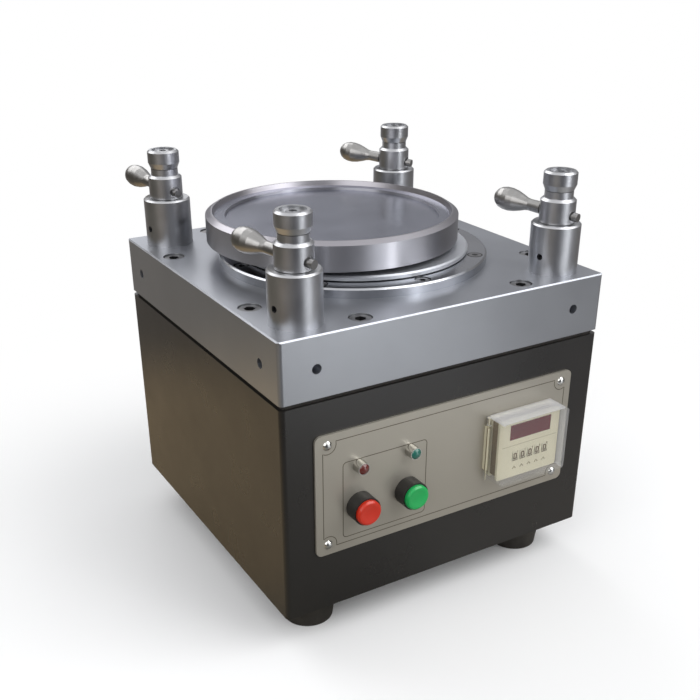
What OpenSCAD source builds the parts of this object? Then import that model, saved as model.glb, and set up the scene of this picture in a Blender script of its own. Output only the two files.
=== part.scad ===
// Bench polishing machine for fibre connectors: a steel cabinet carries a thick deck plate
// with an eccentric platen in its centre and a sprung clamp post at each corner.
// Millimetres. Z is up, the front looks along -Y and the feet stand on Z = 0.

/* [Body] */
// Width and depth of the cabinet and of the deck plate
body_w = 230; // [226:1:236]
// Height of the cabinet
cabinet_h = 139.5; // [137:0.5:146]
// Sheet of the cabinet
sheet_t = 2; // [1.6:0.1:2.2]
// Outer corner radius of the cabinet
cabinet_r = 3; // [2.5:0.5:5]
// Height of the rubber feet
foot_h = 24; // [20:1:28]
// Radius of a foot where it stands
foot_r = 16; // [13:0.5:17.5]
// Radius of a foot where it meets the cabinet
foot_top_r = 19; // [17:0.5:20]
// From the cabinet's side to the axis of a foot
foot_inset = 30; // [27:1:32]
// Height of the shadow gap's gasket under the deck plate
gasket_h = 2.7; // [2:0.1:3.5]
// From the cabinet's side to the outside of the gasket
gasket_inset = 2.2; // [1.5:0.1:3]

/* [Deck plate] */
// Thickness of the deck plate
plate_h = 37.3; // [37:0.1:39]
// Radius of the deck plate's upright corners
plate_r = 2.5; // [1.5:0.5:4]
// Chamfer round the deck plate's top edge
plate_chamfer = 0.8; // [0.4:0.1:1.2]
// From the plate's side to the axis of a deck screw
deck_screw_inset = 11.5; // [11:0.5:12.5]
// From the middle of a side to the axis of a deck screw
deck_screw_off = 57.5; // [54:0.5:60]
// Radius of a deck screw's thread
deck_screw_r = 4; // [3.5:0.1:4.2]
// Radius of a deck screw's head
deck_head_r = 6.5; // [6:0.1:6.7]
// Radius of the counterbore of a deck screw
deck_cbore_r = 7; // [6.9:0.1:7.6]
// From the middle of a side face to each of its tapped holes
side_hole_off = 92; // [88:0.5:96]
// From the deck down to the tapped holes in the side faces
side_hole_drop = 19.6; // [17:0.1:22]
// Radius of the tapped holes in the side faces
side_hole_r = 3; // [2.5:0.1:3.3]
// Depth of the tapped holes in the side faces
side_hole_depth = 9; // [7:0.5:10]

/* [Flange] */
// Radius of the flange ring as a share of the circle of the posts
flange_share = 0.6749; // [0.67:0.0001:0.68]
// Height of the flange ring
flange_h = 6; // [5.5:0.1:6.4]
// Chamfer on the flange ring
flange_chamfer = 1; // [0.5:0.1:1.4]
// Radius of the housing that passes through the deck plate
spigot_r = 58; // [57:0.5:61]
// From the flange ring's edge to the axis of a flange screw
flange_screw_in = 7; // [6.5:0.1:7.5]
// Radius of the counterbore of a flange screw
flange_cbore_r = 5; // [4.8:0.1:5.3]

/* [Carrier] */
// From the flange ring's edge to the edge of the carrier disc
carrier_in = 3.7; // [3.2:0.1:4.5]
// Thickness of the carrier disc
carrier_t = 5.4; // [5:0.1:5.8]
// Gap between the flange ring and the carrier disc
carrier_gap = 0.6; // [0.5:0.1:1]
// Chamfer on the carrier disc
carrier_chamfer = 2; // [1.5:0.1:2.4]
// Radius of the carrier's hub in its bearing
hub_r = 38; // [37:0.1:38.6]
// Radius of the outer ring of the main bearing
bearing_r = 50; // [49:0.1:51]
// Height of the main bearing
bearing_h = 13; // [12:0.5:13.5]

/* [Drive] */
// Tooth module of the fixed ring gear and the planet gear
gear_module = 2; // [1.9:0.05:2]
// Teeth of the fixed ring gear
ring_teeth = 30; // [30:1:30]
// Teeth of the planet gear under the platen
planet_teeth = 16; // [16:1:16]
// Face width of the planet gear
planet_h = 11; // [10:0.5:12]
// Radius of the platen's shaft
shaft_r = 7.5; // [7:0.1:8]
// Radius of the two shaft bearings in the hub
shaft_bearing_r = 17.5; // [17:0.1:18]
// Height of one shaft bearing
shaft_bearing_h = 9; // [8:0.5:9.5]
// Radius of the drive spindle
spindle_r = 10; // [9:0.1:11]
// Radius of the lower bearing
lower_bearing_r = 21; // [20:0.5:22]
// Height of the lower bearing
lower_bearing_h = 12; // [11:0.5:13]
// Side of the square gear motor
motor_w = 70; // [66:1:72]
// From the base plate up to the motor
motor_clear = 5.2; // [4:0.1:8]

/* [Platen] */
// Radius of the platen as a share of the circle of the posts
platen_share = 0.6327; // [0.62:0.0001:0.64]
// Gap between the carrier disc and the platen
platen_gap = 1; // [0.8:0.1:1.5]
// Height of the platen from its underside to its shoulder
platen_side_h = 15.8; // [14:0.1:17]
// From the platen's edge in to its crest
crest_in = 3.5; // [3:0.1:4]
// Rise from the shoulder to the crest
crest_h = 2.2; // [1.6:0.1:2.6]
// From the platen's edge in to the recess for the polishing pad
recess_in = 12.5; // [10.5:0.5:14]
// Depth of the ledge below the crest
ledge_drop = 3.2; // [2.6:0.1:4]
// Depth of the pad recess below the ledge
recess_d = 1.8; // [1.4:0.1:2.4]

/* [Posts] */
// From the plate's side to the axis of a post
post_inset = 22.8; // [21:0.1:24]
// Radius of a post's sleeve
sleeve_r = 15.5; // [14.5:0.1:16]
// Height of a post's sleeve above the deck
sleeve_h = 31; // [29:0.5:34]
// Radius of the collar over the sleeve
collar_r = 11.1; // [10.6:0.1:12]
// Height of the collar
collar_h = 15; // [14:0.1:17]
// Radius of the neck over the collar
neck_r = 8.9; // [8:0.1:9.3]
// Height of the neck
neck_h = 4.2; // [3.5:0.1:5]
// Radius of the knob on a post
knob_r = 10.4; // [9.8:0.1:11]
// Height of the knob
knob_h = 11.8; // [10:0.1:13]
// Height of the cone under the knob
knob_under = 3.6; // [2.5:0.1:4.5]
// Radius of the stem inside the sleeve
stem_r = 4; // [3.6:0.1:4.4]
// Travel of a post's stem
lift = 4; // [3:0.5:5]
// Radius of the spring chamber in the sleeve
chamber_r = 9.5; // [9.2:0.1:10]
// Wire radius of a post's spring
wire_r = 0.9; // [0.7:0.05:1]

/* [Levers] */
// Reach of a lever from the axis of its post
lever_reach = 45.5; // [42:0.5:48]
// Largest radius of a lever's grip
grip_r = 7.25; // [6.8:0.05:7.8]
// Radius of a lever's neck
lever_neck_r = 3.8; // [3.4:0.05:4]
// Radius of the rod that passes through the collar
rod_r = 2.65; // [2.4:0.05:2.8]
// Tilt of a lever above the deck
lever_tilt = 4.5; // [3:0.5:7]
// Direction of the lever on the front left post
lever_fl_dir = 109; // [95:1:175]
// Direction of the lever on the front right post
lever_fr_dir = 108; // [95:1:175]
// Direction of the lever on the back left post
lever_bl_dir = 102; // [95:1:175]
// Direction of the lever on the back right post
lever_br_dir = 122; // [95:1:175]

/* [Control panel] */
// Width of the panel's front plate
panel_w = 190; // [188:1:194]
// Height of the panel's front plate
panel_h = 80; // [78:0.5:84]
// Thickness of the panel's front plate
panel_t = 1.5; // [1.2:0.1:2]
// From the top of the cabinet down to the panel
panel_drop = 20.5; // [18:0.5:23]
// From the panel's middle to the axes of its buttons, red one first
button_xs = [-65.5, -31.5];
// From the panel's middle down to the axes of its buttons
button_drop = 11.9; // [10:0.1:13]
// Radius of a button's bezel
bezel_r = 9; // [8.8:0.1:9.4]
// Radius of a button's cap
cap_r = 8; // [7.6:0.1:8.1]
// From the panel to the front of a button's bezel
bezel_h = 9.5; // [8:0.5:10.5]
// From the front of the bezel to the front of the cap
cap_rise = 3; // [2.6:0.1:3.6]
// Travel of a button's cap
cap_travel = 2; // [1.5:0.1:2.4]
// From the panel's middle to the axes of its lamps
lamp_xs = [-66, -29.7];
// From the panel's middle up to the axes of its lamps
lamp_rise = 15.1; // [14:0.1:17]
// Radius of a lamp's holder at the panel
lamp_r = 4.2; // [3.9:0.1:4.6]
// From the panel to the rim of a lamp's holder
lamp_h = 6.2; // [5.5:0.1:7]
// From the panel's middle to the middle of the timer
timer_x = 54.15; // [53:0.05:55]
// From the panel's middle up to the middle of the timer
timer_rise = 1.2; // [0:0.1:2.5]
// Width of the timer's face
timer_w = 48.6; // [48:0.1:49]
// Height of the timer's face
timer_h = 41.4; // [41:0.1:41.6]
// From the panel to the timer's face
timer_face_h = 10.4; // [10:0.1:11]
// Depth of the timer's case behind the panel
timer_depth = 60; // [50:1:68]
// Width of the timer's clear cover
cover_w = 52.9; // [52.8:0.1:54]
// Height of the timer's clear cover
cover_h = 44.5; // [44.4:0.1:45.5]
// From the panel to the front of the clear cover
cover_d = 16.5; // [15:0.1:18]
// Wall of the clear cover
cover_t = 1.2; // [1.1:0.1:1.3]
// Pitch of the timer's digit wheels
wheel_pitch = 6.05; // [5.8:0.05:6.3]
// Radius of a digit wheel
wheel_r = 8; // [7.6:0.1:8.4]
// Width of a digit wheel
wheel_w = 3.9; // [3.6:0.1:4.2]

/* [Rear] */
// Width of the power inlet's flange
inlet_w = 50; // [48:1:54]
// Height of the power inlet's flange
inlet_h = 28; // [27:0.5:30]
// From the cabinet's side to the middle of the inlet
inlet_side = 53; // [49:1:57]
// From the cabinet's bottom to the middle of the inlet
inlet_z = 34; // [31:0.5:38]
// Width of a vent slot
vent_w = 3.2; // [2.6:0.1:3.6]
// Height of a vent slot
vent_h = 40; // [34:1:46]

/* [Hidden] */
$fn = 96;

// Clearances and the overrun of every cut
over = 1;
seat = 0.05;
run_fit = 0.05;
slip = 0.3;
touch_gap = 0.3;

// Heights of the layers, from the bench up
half_w = body_w / 2;
cabinet_top = foot_h + cabinet_h;
plate_z = cabinet_top + gasket_h;
deck_z = plate_z + plate_h;
front_y = -half_w;
post_pos = half_w - post_inset;
post_ring = post_pos * sqrt(2);
flange_r = flange_share * post_ring;
flange_screw_pcr = flange_r - flange_screw_in;
carrier_r = flange_r - carrier_in;
platen_r = platen_share * post_ring;
crest_r = platen_r - crest_in;
recess_r = platen_r - recess_in;
inlet_x = half_w - inlet_side;

// Cabinet's rims and openings
top_rim_w = 22;
base_lap = 6;
bottom_open_w = 2 * (half_w - foot_inset - foot_top_r - base_lap);
base_w = bottom_open_w + 2 * base_lap;
base_t = sheet_t;
nut_r = deck_head_r;
nut_h = 1.6 * deck_screw_r;
deck_cbore_d = 2.2 * deck_screw_r;
deck_head_h = 2 * deck_screw_r;
deck_hex_r = 0.86 * deck_screw_r;
deck_thread_end = cabinet_top - sheet_t - nut_h - deck_screw_r;
small_screw_r = 2.5;
small_head_r = 4.3;
small_hex_r = 1.5 * small_screw_r;
small_head_h = 2.2;
foot_bore_r = 6;
foot_bore_d = 14;
foot_screw_z = foot_bore_d;

// Housing, bearings and gears, as depths below the deck
lip_t = 4;
lip_r = hub_r + 5;
bearing_top = flange_h - lip_t;
bearing_low = bearing_top - bearing_h;
carrier_low = flange_h + carrier_gap;
carrier_top = carrier_low + carrier_t;
platen_low = carrier_top + platen_gap;
gear_rim_t = 5;
gear_rim_r = hub_r + 2;
teeth_top = bearing_low - gear_rim_t;
hub_low = bearing_low - 0.7 * gear_rim_t;
ring_foot_t = 4;
ring_low = teeth_top - planet_h - 2 * touch_gap - ring_foot_t;
housing_low = ring_low + ring_foot_t;
ring_foot_r = spigot_r - seat;
orbit_dir = 135;
orbit_r = gear_module * (ring_teeth - planet_teeth) / 2;
orbit_x = orbit_r * cos(orbit_dir);
orbit_y = orbit_r * sin(orbit_dir);
pressure_angle = 20;
backlash = 0.16;
flank_n = 5;
root_gap_share = 1.25;
ring_tip_share = 0.7;
planet_low = teeth_top - touch_gap - planet_h;
shaft_low = planet_low - touch_gap;
hub_shelf = 3;
shaft_seat_low = hub_low + hub_shelf;
bearing_split = shaft_seat_low + shaft_bearing_h;
ring_screw_r = 1.5;
ring_screw_in = 8;
ring_head_h = 2.2;
ring_screw_pcr = (bearing_r + spigot_r) / 2;
spindle_disc_r = 27;
spindle_disc_t = 6;
pillar_r = 4;
pillar_pcr = 20;
pillar_dirs = [-95, -45, 5];
stud_r = 2;
stud_h = 7;
leg_h = 6;
bridge_top = -plate_h - leg_h;
spindle_shoulder = bridge_top + touch_gap;
spindle_disc_top = spindle_shoulder + spindle_disc_t;
bearing_shelf = 3;
lower_bearing_low = bridge_top - lower_bearing_h;
bridge_low = lower_bearing_low - bearing_shelf;
bridge_w = 150;
bridge_d = 120;
bridge_r = 8;
leg_r = 8;
leg_screw_in = 8;
leg_x = bridge_w / 2 - leg_r - bridge_r / 2;
leg_y = bridge_d / 2 - leg_r - bridge_r / 2;
coupling_r = 14;
coupling_h = 24;
coupling_gap = 3;
coupling_top = bridge_low - coupling_gap;
coupling_low = coupling_top - coupling_h;
spindle_low = coupling_top - coupling_h / 2 + 1.5 * touch_gap;
motor_shaft_top = coupling_top - coupling_h / 2 - 1.5 * touch_gap;
motor_shaft_r = 6;
gearhead_top = coupling_low - coupling_gap;
gearhead_h = 28;
gearhead_low = gearhead_top - gearhead_h;
motor_low = foot_h + sheet_t + base_t + motor_clear - deck_z;
motor_h = gearhead_low - motor_low;
motor_edge_r = 6;
motor_pillar_r = 5;
motor_pillar_off = motor_w / 2 - 1.3 * motor_pillar_r;
shaft_hole_d = 12;

// Flange screws
flange_screw_n = 4;
flange_screw_r = 2.5;
flange_head_r = 4.3;
flange_head_h = 4;
flange_cbore_d = 4.5;
flange_screw_len = 14;
flange_hex_r = 0.86 * flange_screw_r;

// Platen's inside
crest_w = 1;
ledge_wall = 1.2;
shaft_flange_r = 22;
shaft_flange_t = 4;

// Post's inside, as heights from the deck
spigot_len = 10;
post_spigot_r = 12;
sleeve_chamfer = 1;
guide_len = 10;
chamber_top = sleeve_h - guide_len;
guide_low = 0;
guide_t = 3;
guide_r = chamber_r - slip;
stem_low = guide_low - 3;
stem_foot_r = 6;
collar_low = sleeve_h + touch_gap;
collar_top = collar_low + collar_h;
collar_chamfer = 1.5;
neck_top = collar_top + neck_h;
knob_low = neck_top + touch_gap;
knob_top = knob_low + knob_h;
knob_chamfer = 1.2;
knob_recess_r = 7.4;
knob_recess_d = 1.6;
knob_stud_top = knob_top - 0.5 * knob_recess_d;
stud_hex_r = 0.6 * stem_r;
stud_hex_d = 2.5;
spring_turns = 5;
spring_r = stem_r + wire_r + 0.7 * (guide_r - stem_r - 2 * wire_r);
spring_low = guide_low + guide_t;
weep_r = 2;
weep_z = 11.5;
weep_dir = -165;
rod_z = collar_low + 0.353 * collar_h;
rod_out = 3.6;
rod_seat_w = 1.2;
rod_seat_d = 1.4;
rod_back = (collar_r + rod_out) / cos(lever_tilt);
lever_len = lever_reach / cos(lever_tilt);
neck_start = (collar_r + touch_gap + lever_neck_r * sin(lever_tilt)) / cos(lever_tilt);
grip_len_share = 0.56;
grip_profile_shares = [
    [0, 0.5], [0.1, 0.56], [0.24, 0.74], [0.4, 0.91], [0.56, 1], [0.7, 0.985],
    [0.82, 0.88], [0.91, 0.68], [0.97, 0.42], [1, 0]
];

// Control panel, as places on the front
panel_mid_z = cabinet_top - panel_drop - panel_h / 2;
panel_front = front_y - panel_t;
panel_r = 4;
panel_screw_in = 8.2;
panel_screw_down = 6.8;
panel_screw_r = 1.5;
dome_r = 3;
dome_h = 1.8;
bezel_hole_r = 8;
bezel_depth = 20;
bezel_nut_r = 10.6;
bezel_nut_t = 3;
cap_skirt = 5;
cap_stem_r = 3;
cap_stem_len = 9;
cap_well_y = cap_skirt + cap_travel + touch_gap - bezel_h;
cap_crown = 1;
dish_r = 0.7 * cap_r;
dish_d = 0.45;
lamp_tip_r = lamp_r - 0.3;
lamp_seat_d = 4.6;
lamp_dome_h = 1.6;
lamp_hole_r = 3;
lamp_lens_r = 3.4;
lamp_depth = 14;
lamp_nut_r = 5;
lamp_nut_t = 2.5;
timer_z = panel_mid_z + timer_rise;
timer_cut_w = 45;
timer_cut_h = 39;
groove_low = 2.3;
groove_top = 8.6;
groove_d = 1.2;
display_w = 33;
display_h = 10.7;
display_rise = 11.4;
display_dx = 0.8;
display_t = 1.2;
wheel_mid_dx = 1.7;
wheel_drop = 5.9;
wheel_out = 0.35;
wheel_slot = 0.35;
wheel_bore_r = 1.5;
wheel_x = timer_x + wheel_mid_dx;
wheel_z = timer_z - wheel_drop;
face_y = panel_front - timer_face_h;
wheel_y = face_y - wheel_out + wheel_r;
case_back_t = 3;
case_wall = 2;
case_r = 1.5;
cover_r = 2.5 * cover_t;
cover_gap = 0.6;
hinge_off = 0.4;
hinge_out = 2.4;
hinge_x = timer_x - cover_w / 2 - hinge_off;
hinge_y = panel_front - hinge_out;
hinge_pin_r = 0.6;
hinge_pin_h = cover_h - 0.5;
barrel_r = 1.3;
barrel_h = 5;
lug_r = 1.2;
lug_h = cover_h - 14.5;
lug_t = 2;
notch_h = cover_h - 11.9;
notch_d = 4.2;
inlet_t = 2.5;
inlet_r = 4;
socket_w = 24.5;
socket_h = 16.5;
socket_d = 17;
socket_r = 3;
socket_wall = 2;
pin_w = 2;
pin_h = 4;
pin_len = 7;
pin_pitch = 7;
inlet_screw_off = 20;
vent_n = 9;
vent_pitch = 8;

// Place of the machine's axis, so that the origin is under the middle of the whole outline
left_out = max(0, post_pos - lever_reach * cos(max(lever_fl_dir, lever_bl_dir)) - half_w);
front_out = panel_t + bezel_h + cap_rise;
lever_out = post_pos + lever_reach * sin(max(min(lever_bl_dir, lever_br_dir), 90)) - half_w;
rear_out = max(inlet_t, lever_out);
axis_x = left_out / 2;
axis_y = (front_out - rear_out) / 2;

steel = [0.62, 0.63, 0.65];
plate_grey = [0.6, 0.62, 0.64];
cabinet_black = [0.16, 0.16, 0.17];

// Solids that several pieces share

module rounded_box(w, d, h, r) {
    translate([-w / 2, -d / 2 + r, 0]) cube([w, d - 2 * r, h]);
    translate([-w / 2 + r, -d / 2, 0]) cube([w - 2 * r, d, h]);
    for (sx = [-1, 1], sy = [-1, 1])
        translate([sx * (w / 2 - r), sy * (d / 2 - r), 0]) cylinder(r = r, h = h);
}

// A rounded plate that stands in front of the cabinet, with its back at y = 0
module front_plate(w, h, t, r) {
    rotate([90, 0, 0]) rounded_box(w, h, t, r);
}

module front_rod(r, len) {
    rotate([90, 0, 0]) cylinder(r = r, h = len);
}

module rear_rod(r, len) {
    rotate([-90, 0, 0]) cylinder(r = r, h = len);
}

module hexagon(r, h) {
    cylinder(r = r, h = h, $fn = 6);
}

module machine() {
    translate([axis_x, axis_y, 0]) children();
}

module on_deck() {
    translate([0, 0, deck_z]) children();
}

module on_orbit() {
    translate([orbit_x, orbit_y, deck_z]) children();
}

module at_feet() {
    for (sx = [-1, 1], sy = [-1, 1])
        translate([sx * (half_w - foot_inset), sy * (half_w - foot_inset), 0]) children();
}

module at_posts() {
    for (sx = [-1, 1], sy = [-1, 1])
        translate([sx * post_pos, sy * post_pos, 0]) children();
}

module at_deck_screws() {
    side = half_w - deck_screw_inset;
    for (turn = [0 : 90 : 270], sx = [-1, 1])
        rotate([0, 0, turn]) translate([sx * deck_screw_off, -side, 0]) children();
}

module at_side_holes() {
    for (turn = [0, 270], sx = [-1, 1])
        rotate([0, 0, turn]) translate([sx * side_hole_off, -half_w, 0]) children();
}

module at_flange_screws() {
    for (k = [0 : flange_screw_n - 1])
        rotate([0, 0, -90 + k * 360 / flange_screw_n]) translate([flange_screw_pcr, 0, 0])
            children();
}

module at_panel_screws() {
    x = panel_w / 2 - panel_screw_in;
    z = panel_h / 2 - panel_screw_down;
    for (sx = [-1, 1], sz = [-1, 1])
        translate([sx * x, 0, panel_mid_z + sz * z]) children();
}

module at_base_screws() {
    off = bottom_open_w / 2 + base_lap / 2;
    for (sx = [-1, 1], sy = [-1, 1])
        translate([sx * off, sy * off, 0]) children();
}

module at_bridge_legs() {
    for (sx = [-1, 1], sy = [-1, 1])
        translate([sx * leg_x, sy * leg_y, 0]) children();
}

module at_motor_pillars() {
    for (sx = [-1, 1], sy = [-1, 1])
        translate([sx * motor_pillar_off, sy * motor_pillar_off, 0]) children();
}

// Outline of an involute gear, with its tooth middles at whole turns of its pitch
function involute(a) = tan(a) * 180 / PI - a;
function half_tooth(m, z, r, play) =
    90 / z - play * 90 / (PI * m * z / 2)
    + involute(pressure_angle)
    - involute(acos(min(m * z * cos(pressure_angle) / 2 / r, 1)));
function tooth_radii(m, z, low, high) =
    let (base = max(m * z * cos(pressure_angle) / 2, low))
    [for (k = [0 : flank_n - 1]) base + (high - base) * k / (flank_n - 1)];
function gear_points(m, z, low, high, play) =
    let (radii = tooth_radii(m, z, low, high))
    [for (k = [0 : z - 1])
        let (mid = k * 360 / z)
        each concat(
            [let (h = half_tooth(m, z, radii[0], play))
                [low * cos(mid - h), low * sin(mid - h)]],
            [for (r = radii) let (h = half_tooth(m, z, r, play))
                if (r > low) [r * cos(mid - h), r * sin(mid - h)]],
            [for (i = [flank_n - 1 : -1 : 0]) let (r = radii[i], h = half_tooth(m, z, r, play))
                if (r > low) [r * cos(mid + h), r * sin(mid + h)]],
            [let (h = half_tooth(m, z, radii[0], play))
                [low * cos(mid + h), low * sin(mid + h)]]
        )
    ];

// Tube swept along a helix, closed at both ends
module coil(r, wire, low, high, turns) {
    steps = 12;
    sides = 6;
    n = steps * turns;
    points = [for (i = [0 : n], k = [0 : sides - 1])
        let (
            a = i * 360 / steps,
            b = k * 360 / sides,
            q = r + wire * cos(b)
        )
        [q * cos(a), q * sin(a), low + wire + (high - low - 2 * wire) * i / n + wire * sin(b)]
    ];
    start = [for (k = [0 : sides - 1]) k];
    end = [for (k = [sides - 1 : -1 : 0]) n * sides + k];
    walls = [for (i = [0 : n - 1], k = [0 : sides - 1], half = [0, 1])
        let (
            a = i * sides + k,
            b = i * sides + (k + 1) % sides
        )
        half == 0 ? [a, a + sides, b] : [b, a + sides, b + sides]
    ];
    polyhedron(points = points, faces = concat([start], [end], walls), convexity = 8);
}

// Cabinet

module rubber_feet() {
    color([0.07, 0.07, 0.08])
    at_feet() difference() {
        cylinder(r1 = foot_r, r2 = foot_top_r, h = foot_h);
        translate([0, 0, -over]) cylinder(r = foot_bore_r, h = foot_bore_d + over);
        translate([0, 0, -over]) cylinder(r = small_screw_r + seat, h = foot_h + 2 * over);
    }
}

module cabinet_shell() {
    inner = body_w - 2 * sheet_t;
    color(cabinet_black)
    difference() {
        translate([0, 0, foot_h]) rounded_box(body_w, body_w, cabinet_h, cabinet_r);
        translate([0, 0, foot_h + sheet_t])
            rounded_box(inner, inner, cabinet_h - 2 * sheet_t, cabinet_r - sheet_t / 2);
        translate([0, 0, cabinet_top - sheet_t - over])
            rounded_box(body_w - 2 * top_rim_w, body_w - 2 * top_rim_w,
                sheet_t + 2 * over, cabinet_r);
        translate([0, 0, foot_h - over])
            rounded_box(bottom_open_w, bottom_open_w, sheet_t + 2 * over, cabinet_r);
        at_feet() translate([0, 0, foot_h - over])
            cylinder(r = small_screw_r + seat, h = sheet_t + 2 * over);
        at_base_screws() translate([0, 0, foot_h - over])
            cylinder(r = small_screw_r + seat, h = sheet_t + 2 * over);
        at_deck_screws() translate([0, 0, cabinet_top - sheet_t - over])
            cylinder(r = deck_screw_r + seat, h = sheet_t + 2 * over);
        at_panel_screws() translate([0, front_y + sheet_t + over, 0])
            front_rod(panel_screw_r + seat, sheet_t + 2 * over);
        for (x = button_xs)
            translate([x, front_y + sheet_t + over, panel_mid_z - button_drop])
                front_rod(bezel_hole_r + seat, sheet_t + 2 * over);
        for (x = lamp_xs)
            translate([x, front_y + sheet_t + over, panel_mid_z + lamp_rise])
                front_rod(lamp_hole_r + seat, sheet_t + 2 * over);
        translate([timer_x - timer_cut_w / 2 - slip, front_y - over,
                timer_z - timer_cut_h / 2 - slip])
            cube([timer_cut_w + 2 * slip, sheet_t + 2 * over, timer_cut_h + 2 * slip]);
        translate([inlet_x, half_w - sheet_t - over, foot_h + inlet_z]) rotate([-90, 0, 0])
            rounded_box(socket_w + 2 * (socket_wall + slip), socket_h + 2 * (socket_wall + slip),
                sheet_t + 2 * over, socket_r);
        for (sx = [-1, 1])
            translate([inlet_x + sx * inlet_screw_off, half_w - sheet_t - over, foot_h + inlet_z])
                rear_rod(panel_screw_r + seat, sheet_t + 2 * over);
        for (k = [0 : vent_n - 1])
            translate([-inlet_x + (k - (vent_n - 1) / 2) * vent_pitch - vent_w / 2,
                    half_w - sheet_t - over, cabinet_top - cabinet_h / 2 - vent_h / 2])
                cube([vent_w, sheet_t + 2 * over, vent_h]);
    }
}

module base_plate() {
    color([0.45, 0.46, 0.47])
    difference() {
        translate([0, 0, foot_h + sheet_t]) rounded_box(base_w, base_w, base_t, cabinet_r);
        at_base_screws() translate([0, 0, foot_h])
            cylinder(r = small_screw_r + seat, h = sheet_t + base_t + over);
    }
}

module gasket() {
    outer = body_w - 2 * gasket_inset;
    inner = body_w - 2 * top_rim_w;
    color([0.05, 0.05, 0.05])
    difference() {
        translate([0, 0, cabinet_top]) rounded_box(outer, outer, gasket_h, plate_r);
        translate([0, 0, cabinet_top - over])
            rounded_box(inner, inner, gasket_h + 2 * over, plate_r);
        at_deck_screws() translate([0, 0, cabinet_top - over])
            cylinder(r = deck_screw_r + seat, h = gasket_h + 2 * over);
    }
}

module chamfered_profile() {
    c = plate_chamfer;
    polygon([
        [-half_w, 0], [half_w, 0], [half_w, plate_h - c],
        [half_w - c, plate_h], [-half_w + c, plate_h], [-half_w, plate_h - c]
    ]);
}

module top_plate() {
    color(plate_grey)
    difference() {
        translate([0, 0, plate_z]) intersection() {
            rounded_box(body_w, body_w, plate_h, plate_r);
            translate([0, half_w + over, 0]) rotate([90, 0, 0])
                linear_extrude(height = body_w + 2 * over) chamfered_profile();
            translate([-half_w - over, 0, 0]) rotate([90, 0, 90])
                linear_extrude(height = body_w + 2 * over) chamfered_profile();
        }
        translate([0, 0, plate_z - over]) cylinder(r = spigot_r, h = plate_h + 2 * over);
        at_deck_screws() {
            translate([0, 0, deck_z - deck_cbore_d])
                cylinder(r = deck_cbore_r, h = deck_cbore_d + over);
            translate([0, 0, plate_z - over])
                cylinder(r = deck_screw_r + seat, h = plate_h + over);
        }
        at_side_holes() translate([0, -over, deck_z - side_hole_drop])
            rear_rod(side_hole_r, side_hole_depth + over);
        at_posts() translate([0, 0, deck_z - spigot_len])
            cylinder(r = post_spigot_r + seat, h = spigot_len + over);
        at_flange_screws() translate([0, 0, deck_z - flange_screw_len])
            cylinder(r = flange_screw_r + seat, h = flange_screw_len + over);
        at_bridge_legs() translate([0, 0, plate_z - over])
            cylinder(r = small_screw_r + seat, h = leg_screw_in + over);
    }
}

module deck_screws() {
    head_low = deck_z - deck_cbore_d;
    color([0.3, 0.3, 0.32])
    at_deck_screws() {
        difference() {
            union() {
                translate([0, 0, head_low]) cylinder(r = deck_head_r, h = deck_head_h);
                translate([0, 0, deck_thread_end])
                    cylinder(r = deck_screw_r, h = head_low - deck_thread_end + over);
                translate([0, 0, cabinet_top - sheet_t - nut_h]) hexagon(nut_r, nut_h);
            }
            translate([0, 0, head_low + deck_head_h / 2])
                hexagon(deck_hex_r, deck_head_h / 2 + over);
        }
    }
}

module control_panel() {
    color([0.7, 0.68, 0.63])
    difference() {
        translate([0, front_y, panel_mid_z]) front_plate(panel_w, panel_h, panel_t, panel_r);
        at_panel_screws() translate([0, front_y + over, 0])
            front_rod(panel_screw_r + seat, panel_t + 2 * over);
        for (x = button_xs)
            translate([x, front_y + over, panel_mid_z - button_drop])
                front_rod(bezel_hole_r + seat, panel_t + 2 * over);
        for (x = lamp_xs)
            translate([x, front_y + over, panel_mid_z + lamp_rise])
                front_rod(lamp_hole_r + seat, panel_t + 2 * over);
        translate([timer_x - timer_cut_w / 2 - slip, panel_front - over,
                timer_z - timer_cut_h / 2 - slip])
            cube([timer_cut_w + 2 * slip, panel_t + 2 * over, timer_cut_h + 2 * slip]);
    }
}

module panel_screws() {
    dome_ball = (dome_r * dome_r + dome_h * dome_h) / (2 * dome_h);
    color(steel)
    at_panel_screws() {
        translate([0, panel_front, 0]) intersection() {
            translate([0, dome_ball - dome_h, 0]) sphere(r = dome_ball);
            front_rod(dome_r, dome_h);
        }
        translate([0, front_y + sheet_t + over, 0])
            front_rod(panel_screw_r, sheet_t + over + panel_t + dome_h / 2);
    }
}

module lamp_holders() {
    color([0.75, 0.76, 0.78])
    for (x = lamp_xs)
        translate([x, panel_front, panel_mid_z + lamp_rise]) difference() {
            union() {
                rotate([90, 0, 0]) cylinder(r1 = lamp_r, r2 = lamp_tip_r, h = lamp_h);
                rear_rod(lamp_hole_r, lamp_depth);
                translate([0, panel_t + sheet_t, 0]) rear_rod(lamp_nut_r, lamp_nut_t);
            }
            translate([0, lamp_seat_d - lamp_h, 0]) front_rod(lamp_lens_r, lamp_seat_d + over);
        }
}

module lamp_lenses() {
    lens_r = lamp_lens_r - seat;
    ball = (lens_r * lens_r + lamp_dome_h * lamp_dome_h) / (2 * lamp_dome_h);
    color([0.4, 0.12, 0.12])
    for (x = lamp_xs)
        translate([x, panel_front - lamp_h, panel_mid_z + lamp_rise]) intersection() {
            translate([0, lamp_seat_d, 0]) front_rod(lens_r, lamp_seat_d + lamp_dome_h);
            translate([0, ball - lamp_dome_h, 0]) union() {
                sphere(r = ball);
                rear_rod(ball, lamp_seat_d);
            }
        }
}

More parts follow.
